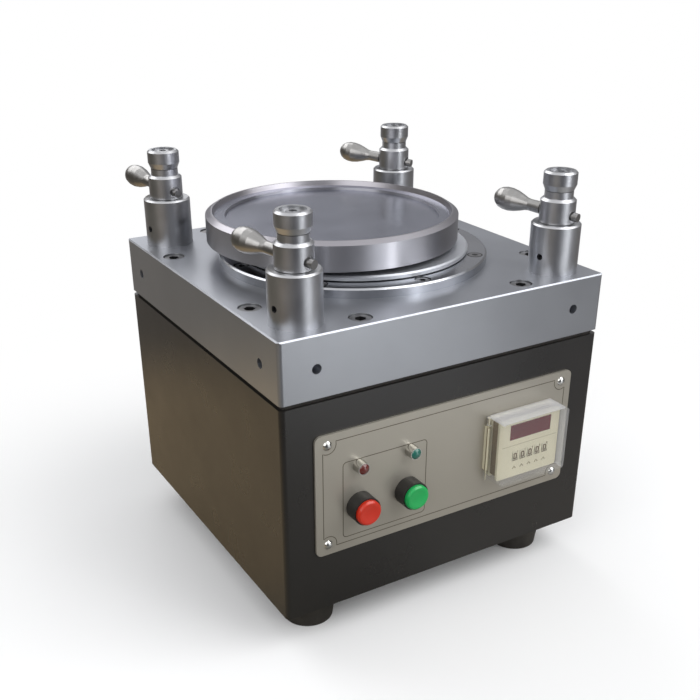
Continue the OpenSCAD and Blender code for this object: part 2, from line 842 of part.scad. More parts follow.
module button_bezel() {
    difference() {
        union() {
            front_rod(bezel_r, bezel_h);
            rear_rod(bezel_hole_r, bezel_depth);
            translate([0, panel_t + sheet_t, 0]) rear_rod(bezel_nut_r, bezel_nut_t);
        }
        translate([0, cap_well_y, 0]) front_rod(cap_r + run_fit, bezel_h + cap_well_y + over);
        translate([0, bezel_depth + over, 0])
            front_rod(cap_stem_r + run_fit, bezel_depth + 2 * over - cap_well_y);
    }
}

module button_bezels() {
    color([0.08, 0.08, 0.08])
    for (x = button_xs)
        translate([x, panel_front, panel_mid_z - button_drop]) button_bezel();
}

module button_cap() {
    ball = (dish_r * dish_r + dish_d * dish_d) / (2 * dish_d);
    difference() {
        union() {
            translate([0, cap_skirt - bezel_h, 0])
                front_rod(cap_r, cap_skirt + cap_rise - cap_crown);
            translate([0, -bezel_h - cap_rise + cap_crown, 0]) rotate([90, 0, 0])
                cylinder(r1 = cap_r, r2 = cap_r - cap_crown, h = cap_crown);
        }
        translate([0, dish_d - bezel_h - cap_rise - ball, 0]) sphere(r = ball);
    }
    translate([0, cap_skirt - bezel_h - over, 0]) rear_rod(cap_stem_r, cap_stem_len + over);
}

module stop_cap() {
    color([0.85, 0.22, 0.14])
    translate([button_xs[0], panel_front, panel_mid_z - button_drop]) button_cap();
}

module start_cap() {
    color([0.12, 0.68, 0.36])
    translate([button_xs[1], panel_front, panel_mid_z - button_drop]) button_cap();
}

// Timer

// A rounded block round the timer's middle, from one depth in front of the panel to another
module timer_block(w, h, low, high) {
    translate([timer_x, panel_front - low, timer_z]) front_plate(w, h, high - low, case_r);
}

module timer_case() {
    slot_w = wheel_w + 2 * wheel_slot;
    slot_r = wheel_r + wheel_slot;
    color([0.72, 0.71, 0.62])
    difference() {
        union() {
            timer_block(timer_w, timer_h, 0, groove_low);
            timer_block(timer_w - 2 * groove_d, timer_h - 2 * groove_d, 0, timer_face_h);
            timer_block(timer_w, timer_h, groove_top, timer_face_h);
            timer_block(timer_cut_w, timer_cut_h, -timer_depth, over);
            translate([hinge_x - lug_r + seat * 4, panel_front - lug_t, timer_z - lug_h / 2])
                cube([timer_x - timer_w / 2 + over - hinge_x + lug_r - seat * 4, lug_t, lug_h]);
            translate([hinge_x, hinge_y, timer_z - lug_h / 2]) cylinder(r = lug_r, h = lug_h);
            translate([hinge_x, hinge_y, timer_z - hinge_pin_h / 2])
                cylinder(r = hinge_pin_r, h = hinge_pin_h);
        }
        translate([timer_x - timer_cut_w / 2 + case_wall, panel_front + case_back_t * 5,
                timer_z - timer_cut_h / 2 + case_wall])
            cube([timer_cut_w - 2 * case_wall, timer_depth - case_back_t * 6,
                timer_cut_h - 2 * case_wall]);
        for (k = [-2 : 2])
            translate([wheel_x + k * wheel_pitch - slot_w / 2, wheel_y, wheel_z])
                rotate([0, 90, 0]) cylinder(r = slot_r, h = slot_w);
        translate([timer_x + display_dx - display_w / 2, face_y - over,
                timer_z + display_rise - display_h / 2])
            cube([display_w, display_t + over, display_h]);
    }
    color([0.72, 0.71, 0.62])
    translate([wheel_x - 2.5 * wheel_pitch, wheel_y, wheel_z])
        rotate([0, 90, 0]) cylinder(r = wheel_bore_r - run_fit, h = 5 * wheel_pitch);
}

module timer_display() {
    color([0.2, 0.03, 0.04])
    translate([timer_x + display_dx - display_w / 2 + seat, face_y + seat,
            timer_z + display_rise - display_h / 2 + seat])
        cube([display_w - 2 * seat, display_t - seat, display_h - 2 * seat]);
}

module timer_cover() {
    color([0.85, 0.9, 0.92, 0.3])
    difference() {
        union() {
            translate([timer_x, panel_front - cover_gap, timer_z]) difference() {
                front_plate(cover_w, cover_h, cover_d - cover_gap, cover_r);
                translate([0, over, 0])
                    front_plate(cover_w - 2 * cover_t, cover_h - 2 * cover_t,
                        cover_d - cover_gap - cover_t + over, cover_r - cover_t);
            }
            for (low = [-hinge_pin_h / 2, hinge_pin_h / 2 - barrel_h])
                translate([hinge_x, hinge_y, timer_z + low]) cylinder(r = barrel_r, h = barrel_h);
        }
        translate([hinge_x - over, panel_front - notch_d, timer_z - notch_h / 2])
            cube([hinge_off + cover_t + 2 * over, notch_d + over, notch_h]);
        translate([hinge_x, hinge_y, timer_z - hinge_pin_h / 2 - over])
            cylinder(r = hinge_pin_r + run_fit, h = hinge_pin_h + 2 * over);
    }
}

module timer_wheel(k) {
    color([0.86, 0.86, 0.82])
    translate([wheel_x + (k - 3) * wheel_pitch - wheel_w / 2, wheel_y, wheel_z])
        rotate([0, 90, 0]) difference() {
            cylinder(r = wheel_r, h = wheel_w);
            translate([0, 0, -over]) cylinder(r = wheel_bore_r, h = wheel_w + 2 * over);
        }
}

// Rear

module power_inlet() {
    color([0.06, 0.06, 0.06])
    translate([inlet_x, half_w, foot_h + inlet_z]) {
        difference() {
            union() {
                rotate([-90, 0, 0]) rounded_box(inlet_w, inlet_h, inlet_t, inlet_r);
                translate([0, -socket_d, 0]) rotate([-90, 0, 0])
                    rounded_box(socket_w + 2 * socket_wall, socket_h + 2 * socket_wall,
                        socket_d + inlet_t / 2, socket_r);
            }
            translate([0, inlet_t - socket_d, 0]) rotate([-90, 0, 0])
                rounded_box(socket_w, socket_h, socket_d + over, socket_r);
            for (sx = [-1, 1])
                translate([sx * inlet_screw_off, -over, 0])
                    rear_rod(panel_screw_r + seat, inlet_t + 2 * over);
        }
        for (k = [-1 : 1])
            translate([k * pin_pitch - pin_w / 2, -socket_d, -pin_h / 2 + abs(k) * pin_h / 2])
                cube([pin_w, pin_len, pin_h]);
    }
}

// Housing and drive

module flange_ring() {
    color(steel)
    on_deck() difference() {
        rotate_extrude() polygon([
            [lip_r, flange_h],
            [flange_r - flange_chamfer, flange_h],
            [flange_r, flange_h - flange_chamfer],
            [flange_r, 0],
            [spigot_r - seat, 0],
            [spigot_r - seat, housing_low],
            [bearing_r + seat, housing_low],
            [bearing_r + seat, bearing_top],
            [lip_r, bearing_top]
        ]);
        at_flange_screws() {
            translate([0, 0, flange_h - flange_cbore_d])
                cylinder(r = flange_cbore_r, h = flange_cbore_d + over);
            translate([0, 0, -over])
                cylinder(r = flange_screw_r + seat, h = flange_h + over);
        }
        at_ring_screws() translate([0, 0, housing_low - over])
            cylinder(r = ring_screw_r + seat, h = ring_screw_in + over);
    }
}

module at_ring_screws() {
    for (k = [0 : 5])
        rotate([0, 0, k * 60]) translate([ring_screw_pcr, 0, 0]) children();
}

module flange_screws() {
    head_low = flange_h - flange_cbore_d;
    color([0.3, 0.3, 0.32])
    on_deck() at_flange_screws() difference() {
        union() {
            translate([0, 0, head_low]) cylinder(r = flange_head_r, h = flange_head_h);
            translate([0, 0, over - flange_screw_len])
                cylinder(r = flange_screw_r, h = flange_screw_len + head_low);
        }
        translate([0, 0, head_low + flange_head_h / 2])
            hexagon(flange_hex_r, flange_head_h / 2 + over);
    }
}

module main_bearing() {
    color(steel)
    on_deck() translate([0, 0, bearing_low]) difference() {
        cylinder(r = bearing_r, h = bearing_h);
        translate([0, 0, -over]) cylinder(r = hub_r + run_fit, h = bearing_h + 2 * over);
    }
}

module ring_gear() {
    m = gear_module;
    root = m * (ring_teeth / 2 + root_gap_share);
    tip = m * (ring_teeth / 2 - ring_tip_share);
    color([0.5, 0.5, 0.52])
    on_deck() difference() {
        rotate_extrude() polygon([
            [tip - m, ring_low],
            [ring_foot_r, ring_low],
            [ring_foot_r, housing_low],
            [bearing_r, housing_low],
            [bearing_r, bearing_low],
            [gear_rim_r, bearing_low],
            [gear_rim_r, teeth_top],
            [tip - m, teeth_top]
        ]);
        translate([0, 0, ring_low - over]) rotate([0, 0, orbit_dir])
            linear_extrude(height = teeth_top - ring_low + 2 * over)
                polygon(gear_points(m, ring_teeth, tip, root, -backlash));
        at_ring_screws() {
            translate([0, 0, ring_low - over])
                cylinder(r = ring_screw_r + seat, h = ring_foot_t + 2 * over);
        }
    }
}

module planet_gear() {
    m = gear_module;
    root = m * (planet_teeth / 2 - root_gap_share);
    tip = m * (planet_teeth / 2 + 1) - touch_gap;
    color([0.62, 0.55, 0.35])
    on_orbit() difference() {
        translate([0, 0, planet_low]) rotate([0, 0, orbit_dir])
            linear_extrude(height = planet_h)
                polygon(gear_points(m, planet_teeth, root, tip, backlash));
        translate([0, 0, planet_low - over])
            cylinder(r = shaft_r + seat, h = planet_h + 2 * over);
    }
}

module carrier() {
    color(steel)
    difference() {
        on_deck() rotate_extrude() polygon([
            [0, hub_low], [hub_r, hub_low], [hub_r, carrier_low],
            [carrier_r, carrier_low], [carrier_r, carrier_top - carrier_chamfer],
            [carrier_r - carrier_chamfer, carrier_top], [0, carrier_top]
        ]);
        on_orbit() {
            translate([0, 0, shaft_seat_low])
                cylinder(r = shaft_bearing_r + seat, h = carrier_top - shaft_seat_low + over);
            translate([0, 0, hub_low - over])
                cylinder(r = shaft_bearing_r - hub_shelf, h = hub_shelf + 2 * over);
        }
        on_deck() for (a = pillar_dirs)
            rotate([0, 0, a]) translate([pillar_pcr, 0, hub_low - over])
                cylinder(r = stud_r + seat, h = stud_h + touch_gap + over);
    }
}

module platen_bearing() {
    color([0.75, 0.76, 0.78])
    on_orbit() for (low = [shaft_seat_low, bearing_split + touch_gap])
        translate([0, 0, low]) difference() {
            cylinder(r = shaft_bearing_r, h = shaft_bearing_h);
            translate([0, 0, -over])
                cylinder(r = shaft_r + run_fit, h = shaft_bearing_h + 2 * over);
        }
}

module carrier_spindle() {
    color([0.55, 0.56, 0.58])
    on_deck() {
        translate([0, 0, spindle_shoulder]) cylinder(r = spindle_disc_r, h = spindle_disc_t);
        translate([0, 0, spindle_low])
            cylinder(r = spindle_r, h = spindle_shoulder - spindle_low + spindle_disc_t / 2);
        for (a = pillar_dirs) rotate([0, 0, a]) translate([pillar_pcr, 0, 0]) {
            translate([0, 0, spindle_shoulder])
                cylinder(r = pillar_r, h = hub_low - spindle_shoulder);
            translate([0, 0, spindle_shoulder])
                cylinder(r = stud_r, h = hub_low - spindle_shoulder + stud_h);
        }
    }
}

module lower_bearing() {
    color([0.75, 0.76, 0.78])
    on_deck() translate([0, 0, lower_bearing_low]) difference() {
        cylinder(r = lower_bearing_r, h = lower_bearing_h);
        translate([0, 0, -over])
            cylinder(r = spindle_r + run_fit, h = lower_bearing_h + 2 * over);
    }
}

module bridge_plate() {
    color([0.66, 0.67, 0.69])
    on_deck() difference() {
        union() {
            translate([0, 0, bridge_low])
                rounded_box(bridge_w, bridge_d, bridge_top - bridge_low, bridge_r);
            at_bridge_legs() translate([0, 0, bridge_low])
                cylinder(r = leg_r, h = -plate_h - bridge_low);
        }
        translate([0, 0, lower_bearing_low])
            cylinder(r = lower_bearing_r + seat, h = lower_bearing_h + over);
        translate([0, 0, bridge_low - over])
            cylinder(r = lower_bearing_r - bearing_shelf, h = bearing_shelf + 2 * over);
        at_bridge_legs() translate([0, 0, bridge_low - over])
            cylinder(r = small_screw_r + seat, h = -plate_h - bridge_low + 2 * over);
        at_motor_pillars() translate([0, 0, bridge_low - over])
            cylinder(r = ring_screw_r + seat, h = bridge_top - bridge_low + 2 * over);
    }
}

module shaft_coupling() {
    mid = (coupling_top + coupling_low) / 2;
    color([0.7, 0.72, 0.75])
    on_deck() difference() {
        translate([0, 0, coupling_low]) cylinder(r = coupling_r, h = coupling_h);
        translate([0, 0, mid]) cylinder(r = spindle_r + seat, h = coupling_h);
        translate([0, 0, coupling_low - over])
            cylinder(r = motor_shaft_r + seat, h = coupling_h);
    }
}

module motor_shaft() {
    color(steel)
    on_deck() translate([0, 0, gearhead_top - shaft_hole_d + touch_gap])
        cylinder(r = motor_shaft_r, h = motor_shaft_top - gearhead_top + shaft_hole_d - touch_gap);
}

module motor_pillars() {
    color([0.55, 0.56, 0.58])
    on_deck() at_motor_pillars() difference() {
        translate([0, 0, gearhead_top]) cylinder(r = motor_pillar_r, h = bridge_low - gearhead_top);
        translate([0, 0, gearhead_top - over])
            cylinder(r = ring_screw_r + seat, h = bridge_low - gearhead_top + 2 * over);
    }
}

module gear_motor() {
    color([0.25, 0.26, 0.28])
    on_deck() difference() {
        union() {
            translate([0, 0, gearhead_low])
                rounded_box(motor_w, motor_w, gearhead_h, motor_edge_r);
            translate([0, 0, motor_low])
                cylinder(r = motor_w / 2, h = motor_h + gearhead_h / 2);
        }
        translate([0, 0, gearhead_top - shaft_hole_d])
            cylinder(r = motor_shaft_r + run_fit, h = shaft_hole_d + over);
        at_motor_pillars() translate([0, 0, gearhead_top - ring_screw_in])
            cylinder(r = ring_screw_r + seat, h = ring_screw_in + over);
    }
}

module inner_screws() {
    color([0.3, 0.3, 0.32]) {
        at_feet() {
            translate([0, 0, foot_screw_z - small_head_h])
                cylinder(r = small_head_r, h = small_head_h);
            translate([0, 0, foot_screw_z - over])
                cylinder(r = small_screw_r, h = foot_h + sheet_t - foot_screw_z + over + small_head_h);
            translate([0, 0, foot_h + sheet_t]) difference() {
                hexagon(small_head_r, small_head_h);
                translate([0, 0, -over])
                    cylinder(r = small_screw_r - seat, h = small_head_h + 2 * over);
            }
        }
        at_base_screws() {
            translate([0, 0, foot_h - small_head_h]) cylinder(r = small_head_r, h = small_head_h);
            translate([0, 0, foot_h - over])
                cylinder(r = small_screw_r, h = sheet_t + base_t + over + small_head_h);
        }
        on_deck() {
            at_bridge_legs() {
                translate([0, 0, bridge_low - small_head_h])
                    cylinder(r = small_head_r, h = small_head_h);
                translate([0, 0, bridge_low - over])
                    cylinder(r = small_screw_r, h = leg_screw_in - plate_h - bridge_low);
            }
            at_motor_pillars() {
                translate([0, 0, bridge_top]) cylinder(r = 2 * ring_screw_r, h = small_head_h);
                translate([0, 0, gearhead_top - ring_screw_in + over])
                    cylinder(r = ring_screw_r, h = bridge_top - gearhead_top + ring_screw_in);
            }
            at_ring_screws() {
                translate([0, 0, ring_low - small_head_h])
                    cylinder(r = 1.8 * ring_screw_r, h = small_head_h);
                translate([0, 0, ring_low - over])
                    cylinder(r = ring_screw_r, h = ring_foot_t + ring_screw_in);
            }
        }
    }
}

// Platen

module platen() {
    low = platen_low;
    shoulder = low + platen_side_h;
    crest = shoulder + crest_h;
    ledge = crest - ledge_drop;
    floor_z = ledge - recess_d;
    color([0.66, 0.65, 0.68])
    on_orbit() difference() {
        rotate_extrude() polygon([
            [0, low], [platen_r, low], [platen_r, shoulder],
            [crest_r, crest], [crest_r - crest_w, crest],
            [crest_r - crest_w - ledge_wall, ledge],
            [recess_r, ledge], [recess_r, floor_z], [0, floor_z]
        ]);
        translate([0, 0, low - over]) cylinder(r = shaft_flange_r + seat, h = shaft_flange_t + over);
    }
}

module platen_shaft() {
    color([0.55, 0.56, 0.58])
    on_orbit() {
        translate([0, 0, platen_low]) cylinder(r = shaft_flange_r, h = shaft_flange_t);
        translate([0, 0, shaft_low]) cylinder(r = shaft_r, h = platen_low - shaft_low + over);
    }
}

// Posts

module post_sleeves() {
    c = sleeve_chamfer;
    color([0.5, 0.51, 0.52])
    on_deck() at_posts() difference() {
        rotate_extrude() polygon([
            [stem_r + run_fit, sleeve_h], [sleeve_r - c, sleeve_h], [sleeve_r, sleeve_h - c],
            [sleeve_r, 0], [post_spigot_r, 0], [post_spigot_r, -spigot_len],
            [chamber_r, -spigot_len], [chamber_r, chamber_top], [stem_r + run_fit, chamber_top]
        ]);
        rotate([0, 0, weep_dir]) translate([chamber_r - over, 0, weep_z]) rotate([0, 90, 0])
            cylinder(r = weep_r, h = sleeve_r - chamber_r + 2 * over);
    }
}

module post_guide() {
    color(steel)
    on_deck() difference() {
        translate([0, 0, guide_low]) cylinder(r = guide_r, h = guide_t);
        translate([0, 0, guide_low - over])
            cylinder(r = stem_r + run_fit, h = guide_t + 2 * over);
    }
}

module post_spring() {
    color([0.7, 0.71, 0.73])
    on_deck() coil(spring_r, wire_r, spring_low, chamber_top, spring_turns);
}

module post_spindle(dir) {
    c = collar_chamfer;
    color([0.5, 0.51, 0.52])
    on_deck() difference() {
        rotate_extrude() polygon([
            [0, stem_low], [stem_foot_r, stem_low], [stem_foot_r, guide_low - touch_gap],
            [stem_r, guide_low - touch_gap], [stem_r, collar_low],
            [collar_r, collar_low], [collar_r, collar_top - c], [collar_r - c, collar_top],
            [neck_r, collar_top], [neck_r, neck_top], [stem_r, neck_top],
            [stem_r, knob_stud_top], [0, knob_stud_top]
        ]);
        translate([0, 0, knob_stud_top - stud_hex_d]) hexagon(stud_hex_r, stud_hex_d + over);
        translate([0, 0, rod_z]) rotate([0, 0, dir]) rotate([0, 90 - lever_tilt, 0])
            translate([0, 0, -2 * collar_r]) {
                cylinder(r = rod_r + seat, h = 4 * collar_r);
                cylinder(r = rod_r + rod_seat_w, h = collar_r + rod_seat_d);
            }
    }
}

module post_lever(dir) {
    grip_len = lever_len * grip_len_share;
    grip_low = lever_len - grip_len;
    color([0.55, 0.56, 0.58])
    on_deck() translate([0, 0, rod_z]) rotate([0, 0, dir]) rotate([0, 90 - lever_tilt, 0])
        rotate_extrude() polygon(concat(
            [[0, -rod_back], [rod_r, -rod_back], [rod_r, neck_start], [lever_neck_r, neck_start]],
            [for (s = grip_profile_shares) [s[1] * grip_r, grip_low + s[0] * grip_len]]
        ));
}

module post_knob() {
    c = knob_chamfer;
    color([0.5, 0.51, 0.52])
    on_deck() rotate_extrude() polygon([
        [stem_r + run_fit, knob_low], [neck_r, knob_low], [knob_r, knob_low + knob_under],
        [knob_r, knob_top - c], [knob_r - c, knob_top], [knob_recess_r, knob_top],
        [knob_recess_r, knob_top - knob_recess_d], [stem_r + run_fit, knob_top - knob_recess_d]
    ]);
}

module post_at(sx, sy) {
    translate([sx * post_pos, sy * post_pos, 0]) children();
}

machine() rubber_feet();
machine() cabinet_shell();
machine() base_plate();
machine() gasket();
machine() top_plate();
machine() deck_screws();
machine() flange_ring();
machine() flange_screws();
machine() main_bearing();
machine() ring_gear();
machine() bridge_plate();
machine() lower_bearing();
machine() motor_pillars();
machine() gear_motor();
machine() inner_screws();
machine() control_panel();
machine() panel_screws();
machine() lamp_holders();
machine() lamp_lenses();
machine() button_bezels();
machine() stop_cap();
machine() start_cap();
machine() timer_case();
machine() timer_display();
machine() timer_cover();
machine() timer_wheel(1);  // timer_wheel_1
machine() timer_wheel(2);  // timer_wheel_2
machine() timer_wheel(3);  // timer_wheel_3
machine() timer_wheel(4);  // timer_wheel_4
machine() timer_wheel(5);  // timer_wheel_5
machine() power_inlet();
machine() post_sleeves();
machine() carrier();
machine() platen_bearing();
machine() carrier_spindle();
machine() shaft_coupling();
machine() motor_shaft();
machine() platen();
machine() platen_shaft();
machine() planet_gear();
machine() post_at(-1, -1) post_guide();  // post_guide_fl
machine() post_at(-1, -1) post_spring();  // post_spring_fl
machine() post_at(-1, -1) post_spindle(lever_fl_dir);  // post_spindle_fl
machine() post_at(-1, -1) post_lever(lever_fl_dir);  // post_lever_fl
machine() post_at(-1, -1) post_knob();  // post_knob_fl
machine() post_at(1, -1) post_guide();  // post_guide_fr
machine() post_at(1, -1) post_spring();  // post_spring_fr
machine() post_at(1, -1) post_spindle(lever_fr_dir);  // post_spindle_fr
machine() post_at(1, -1) post_lever(lever_fr_dir);  // post_lever_fr
machine() post_at(1, -1) post_knob();  // post_knob_fr
machine() post_at(-1, 1) post_guide();  // post_guide_bl
machine() post_at(-1, 1) post_spring();  // post_spring_bl
machine() post_at(-1, 1) post_spindle(lever_bl_dir);  // post_spindle_bl
machine() post_at(-1, 1) post_lever(lever_bl_dir);  // post_lever_bl
machine() post_at(-1, 1) post_knob();  // post_knob_bl
machine() post_at(1, 1) post_guide();  // post_guide_br
machine() post_at(1, 1) post_spring();  // post_spring_br
machine() post_at(1, 1) post_spindle(lever_br_dir);  // post_spindle_br
machine() post_at(1, 1) post_lever(lever_br_dir);  // post_lever_br
machine() post_at(1, 1) post_knob();  // post_knob_br
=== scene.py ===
"""Bench polishing machine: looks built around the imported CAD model, in metres."""
import math

import bmesh
import bpy
from mathutils import Matrix, Vector


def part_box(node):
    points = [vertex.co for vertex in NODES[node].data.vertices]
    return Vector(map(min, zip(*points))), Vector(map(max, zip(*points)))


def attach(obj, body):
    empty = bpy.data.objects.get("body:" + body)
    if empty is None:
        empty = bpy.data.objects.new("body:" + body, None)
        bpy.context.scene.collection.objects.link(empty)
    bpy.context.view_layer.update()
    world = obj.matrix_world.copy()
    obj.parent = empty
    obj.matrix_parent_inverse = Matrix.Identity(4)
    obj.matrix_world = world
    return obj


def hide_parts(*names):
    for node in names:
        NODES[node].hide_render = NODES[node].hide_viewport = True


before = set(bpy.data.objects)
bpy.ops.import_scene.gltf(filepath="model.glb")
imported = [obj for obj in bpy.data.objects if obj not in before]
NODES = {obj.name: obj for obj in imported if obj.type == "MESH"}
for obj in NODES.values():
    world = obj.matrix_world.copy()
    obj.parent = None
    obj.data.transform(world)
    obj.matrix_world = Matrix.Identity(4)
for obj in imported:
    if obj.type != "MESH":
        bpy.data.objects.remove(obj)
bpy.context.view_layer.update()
MM = 0.001
QUARTER = 90


def box(node):
    """The lowest and the highest corner of a CAD node."""
    low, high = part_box(node)
    return Vector(low), Vector(high)


def middle(node):
    low, high = box(node)
    return (low + high) / 2


# Places that other places are measured from
AXIS = middle("top_plate")
DECK = box("top_plate")[1].z
PANEL_LOW, PANEL_HIGH = box("control_panel")
PANEL_FACE = PANEL_LOW.y
CASE_FACE = box("timer_case")[0].y
COVER_MID = middle("timer_cover")
PLATEN_TOP = box("platen")[1].z


def srgb(r, g, b):
    """Linear colour from the 0 to 255 values that a picture shows, by the sRGB standard."""
    out = []
    for v in (r, g, b):
        v /= 255
        out.append(v / 12.92 if v <= 0.04045 else ((v + 0.055) / 1.055) ** 2.4)
    return (*out, 1.0)


def shade(color, k):
    """The colour made k times as light, and no lighter than white."""
    return (*(min(1.0, c * k) for c in color[:3]), 1.0)


# Camera
CAM_FROM_DECK = Vector((-0.3242, -0.53657, 0.18872))
CAM_AZ, CAM_EL, CAM_ROLL = -31.0221, 26.7107, 0.0393
CAM_FOCAL_PX, CAM_CX, CAM_CY = 969.58, 350.67, 425.0
SIDE_PX, SENSOR = 700, 36.0
CLIP_NEAR, CLIP_FAR = 0.01, 30


def make_camera():
    az, el, roll = (math.radians(v) for v in (CAM_AZ, CAM_EL, CAM_ROLL))
    ahead = Vector((-math.sin(az) * math.cos(el), math.cos(az) * math.cos(el), -math.sin(el)))
    level = Vector((math.cos(az), math.sin(az), 0.0))
    upright = level.cross(ahead)
    right = math.cos(roll) * level + math.sin(roll) * upright
    up = math.cos(roll) * upright - math.sin(roll) * level
    data = bpy.data.cameras.new("camera")
    data.sensor_width = SENSOR
    data.sensor_fit = "HORIZONTAL"
    data.lens = CAM_FOCAL_PX * SENSOR / SIDE_PX
    data.shift_x = (SIDE_PX / 2 - CAM_CX) / SIDE_PX
    data.shift_y = (CAM_CY - SIDE_PX / 2) / SIDE_PX
    data.clip_start = CLIP_NEAR
    data.clip_end = CLIP_FAR
    camera = bpy.data.objects.new("camera", data)
    bpy.context.scene.collection.objects.link(camera)
    turn = Matrix((right, up, -ahead)).transposed().to_4x4()
    camera.matrix_world = Matrix.Translation(Vector((AXIS.x, AXIS.y, DECK)) + CAM_FROM_DECK) @ turn
    bpy.context.scene.camera = camera


make_camera()
bpy.context.scene.view_settings.view_transform = "Standard"


def new_node(tree, kind, values=None, **settings):
    """A shader node with its settings and the values of its input sockets."""
    node = tree.nodes.new(f"ShaderNode{kind}")
    for key, value in settings.items():
        setattr(node, key, value)
    for socket, value in (values or {}).items():
        node.inputs[socket].default_value = value
    return node


# Values of the noise between which a material goes from its one end to its other
TINT_FROM, TINT_TO = 0.3, 0.7
GLOSS_FROM, GLOSS_TO = 0.25, 0.75
# Unevenness of the lathe marks
RING_WOBBLE, BAND_WOBBLE, WAVE_DETAIL, RING_DETAIL_SCALE = 0.6, 1.5, 2.0, 3.0
# Strength and direction of the stretched highlights
GRAIN_PULL, GRAIN_TURN = 0.95, 0.25


class Look:
    """A material with one Principled shader, and helpers that add to it."""

    def __init__(self, name, color, rough, metal=0.0):
        self.mat = bpy.data.materials.new(name)
        self.mat.use_nodes = True
        self.mat.diffuse_color = color
        self.tree = self.mat.node_tree
        self.shader = self.tree.nodes["Principled BSDF"]
        self.color, self.rough = color, rough
        self.set("Base Color", color).set("Roughness", rough).set("Metallic", metal)
        self.coords = self.node("TexCoord").outputs["Object"]

    def set(self, socket, value):
        self.shader.inputs[socket].default_value = value
        return self

    def node(self, kind, values=None, **settings):
        return new_node(self.tree, kind, values, **settings)

    def link(self, out, into):
        self.tree.links.new(out, into)

    def coat(self, weight, rough):
        return self.set("Coat Weight", weight).set("Coat Roughness", rough)

    def noise(self, scale, detail=3, stretch=(1, 1, 1)):
        place = self.node("Mapping", {"Scale": stretch})
        self.link(self.coords, place.inputs["Vector"])
        node = self.node("TexNoise", {"Scale": scale, "Detail": detail})
        self.link(place.outputs["Vector"], node.inputs["Vector"])
        return node.outputs["Fac"]

    def tint(self, scale, amount):
        """Vary the colour by amount, darker and lighter, in soft patches."""
        node = self.node("ValToRGB")
        low, high = node.color_ramp.elements
        low.position, high.position = TINT_FROM, TINT_TO
        low.color, high.color = shade(self.color, 1 - amount), shade(self.color, 1 + amount)
        self.link(self.noise(scale), node.inputs["Fac"])
        self.link(node.outputs["Color"], self.shader.inputs["Base Color"])
        return self

    def gloss(self, scale, amount):
        """Vary the roughness by amount, down and up, in soft patches."""
        low, high = self.rough - amount, self.rough + amount
        node = self.node(
            "MapRange",
            {"From Min": GLOSS_FROM, "From Max": GLOSS_TO, "To Min": low, "To Max": high},
        )
        self.link(self.noise(scale), node.inputs["Value"])
        self.link(node.outputs["Result"], self.shader.inputs["Roughness"])
        return self

    def bump(self, height, strength, depth):
        node = self.node("Bump", {"Strength": strength, "Distance": depth})
        self.link(height, node.inputs["Height"])
        self.link(node.outputs["Normal"], self.shader.inputs["Normal"])
        return self

    def speckle(self, scale, detail, strength, depth, stretch=(1, 1, 1)):
        """Fine unevenness of the surface."""
        return self.bump(self.noise(scale, detail, stretch), strength, depth)

    def rings(self, center, scale, strength, depth):
        """Fine lathe rings about an upright axis through center."""
        place = self.node("Mapping", {"Location": (-center.x, -center.y, 0.0)})
        self.link(self.coords, place.inputs["Vector"])
        wave = self.node(
            "TexWave",
            {"Scale": scale, "Distortion": RING_WOBBLE, "Detail": WAVE_DETAIL,
             "Detail Scale": RING_DETAIL_SCALE},
            wave_type="RINGS", rings_direction="Z",
        )
        self.link(place.outputs["Vector"], wave.inputs["Vector"])
        return self.bump(wave.outputs["Fac"], strength, depth)

    def turned(self, scale, strength, depth):
        """Fine lathe marks that run round any upright cylinder."""
        wave = self.node(
            "TexWave", {"Scale": scale, "Distortion": BAND_WOBBLE, "Detail": WAVE_DETAIL},
            wave_type="BANDS", bands_direction="Z",
        )
        self.link(self.coords, wave.inputs["Vector"])
        return self.bump(wave.outputs["Fac"], strength, depth)

    def grained(self):
        """The stretched highlights of marks that run round the piece's own upright axis."""
        tangent = self.node("Tangent", direction_type="RADIAL", axis="Z")
        self.link(tangent.outputs["Tangent"], self.shader.inputs["Tangent"])
        return self.set("Anisotropic", GRAIN_PULL).set("Anisotropic Rotation", GRAIN_TURN)


# Materials of the feet, the cabinet and the base
rubber = Look("rubber", srgb(52, 49, 45), rough=0.7).tint(90, 0.25).gloss(40, 0.08)
rubber.speckle(900, detail=2, strength=0.25, depth=0.2 * MM)
cabinet = Look("cabinet_paint", srgb(30, 28, 26), rough=0.3).tint(14, 0.15).gloss(30, 0.05)
cabinet.coat(0.2, rough=0.2).speckle(1100, detail=2, strength=0.3, depth=0.14 * MM)
zinc = Look("zinc_sheet", srgb(150, 150, 148), rough=0.4, metal=1).tint(60, 0.12).gloss(30, 0.08)

# Materials of the deck plate and the screws
PLATE_GRAIN = (1, 1, 6)
plate = Look("plate_metal", srgb(168, 171, 178), rough=0.34, metal=0.88)
plate.tint(14, 0.07).gloss(25, 0.05)
plate.speckle(500, detail=4, strength=0.1, depth=0.08 * MM, stretch=PLATE_GRAIN)
plate_side = Look("plate_side", srgb(164, 166, 170), rough=0.32, metal=0.85)
plate_side.tint(18, 0.04).gloss(25, 0.04)
plate_side.speckle(500, detail=4, strength=0.1, depth=0.08 * MM, stretch=PLATE_GRAIN)
dark_screw = Look("screw_steel", srgb(140, 140, 142), rough=0.34, metal=1)
dark_screw.tint(300, 0.2).gloss(120, 0.08)
# Near-black for the screws' hex sockets and counterbores: painted shade in the recesses
hex_painted_shade = Look("hex_recess_painted_shade", srgb(34, 34, 36), rough=0.5, metal=0.5).tint(200, 0.2)

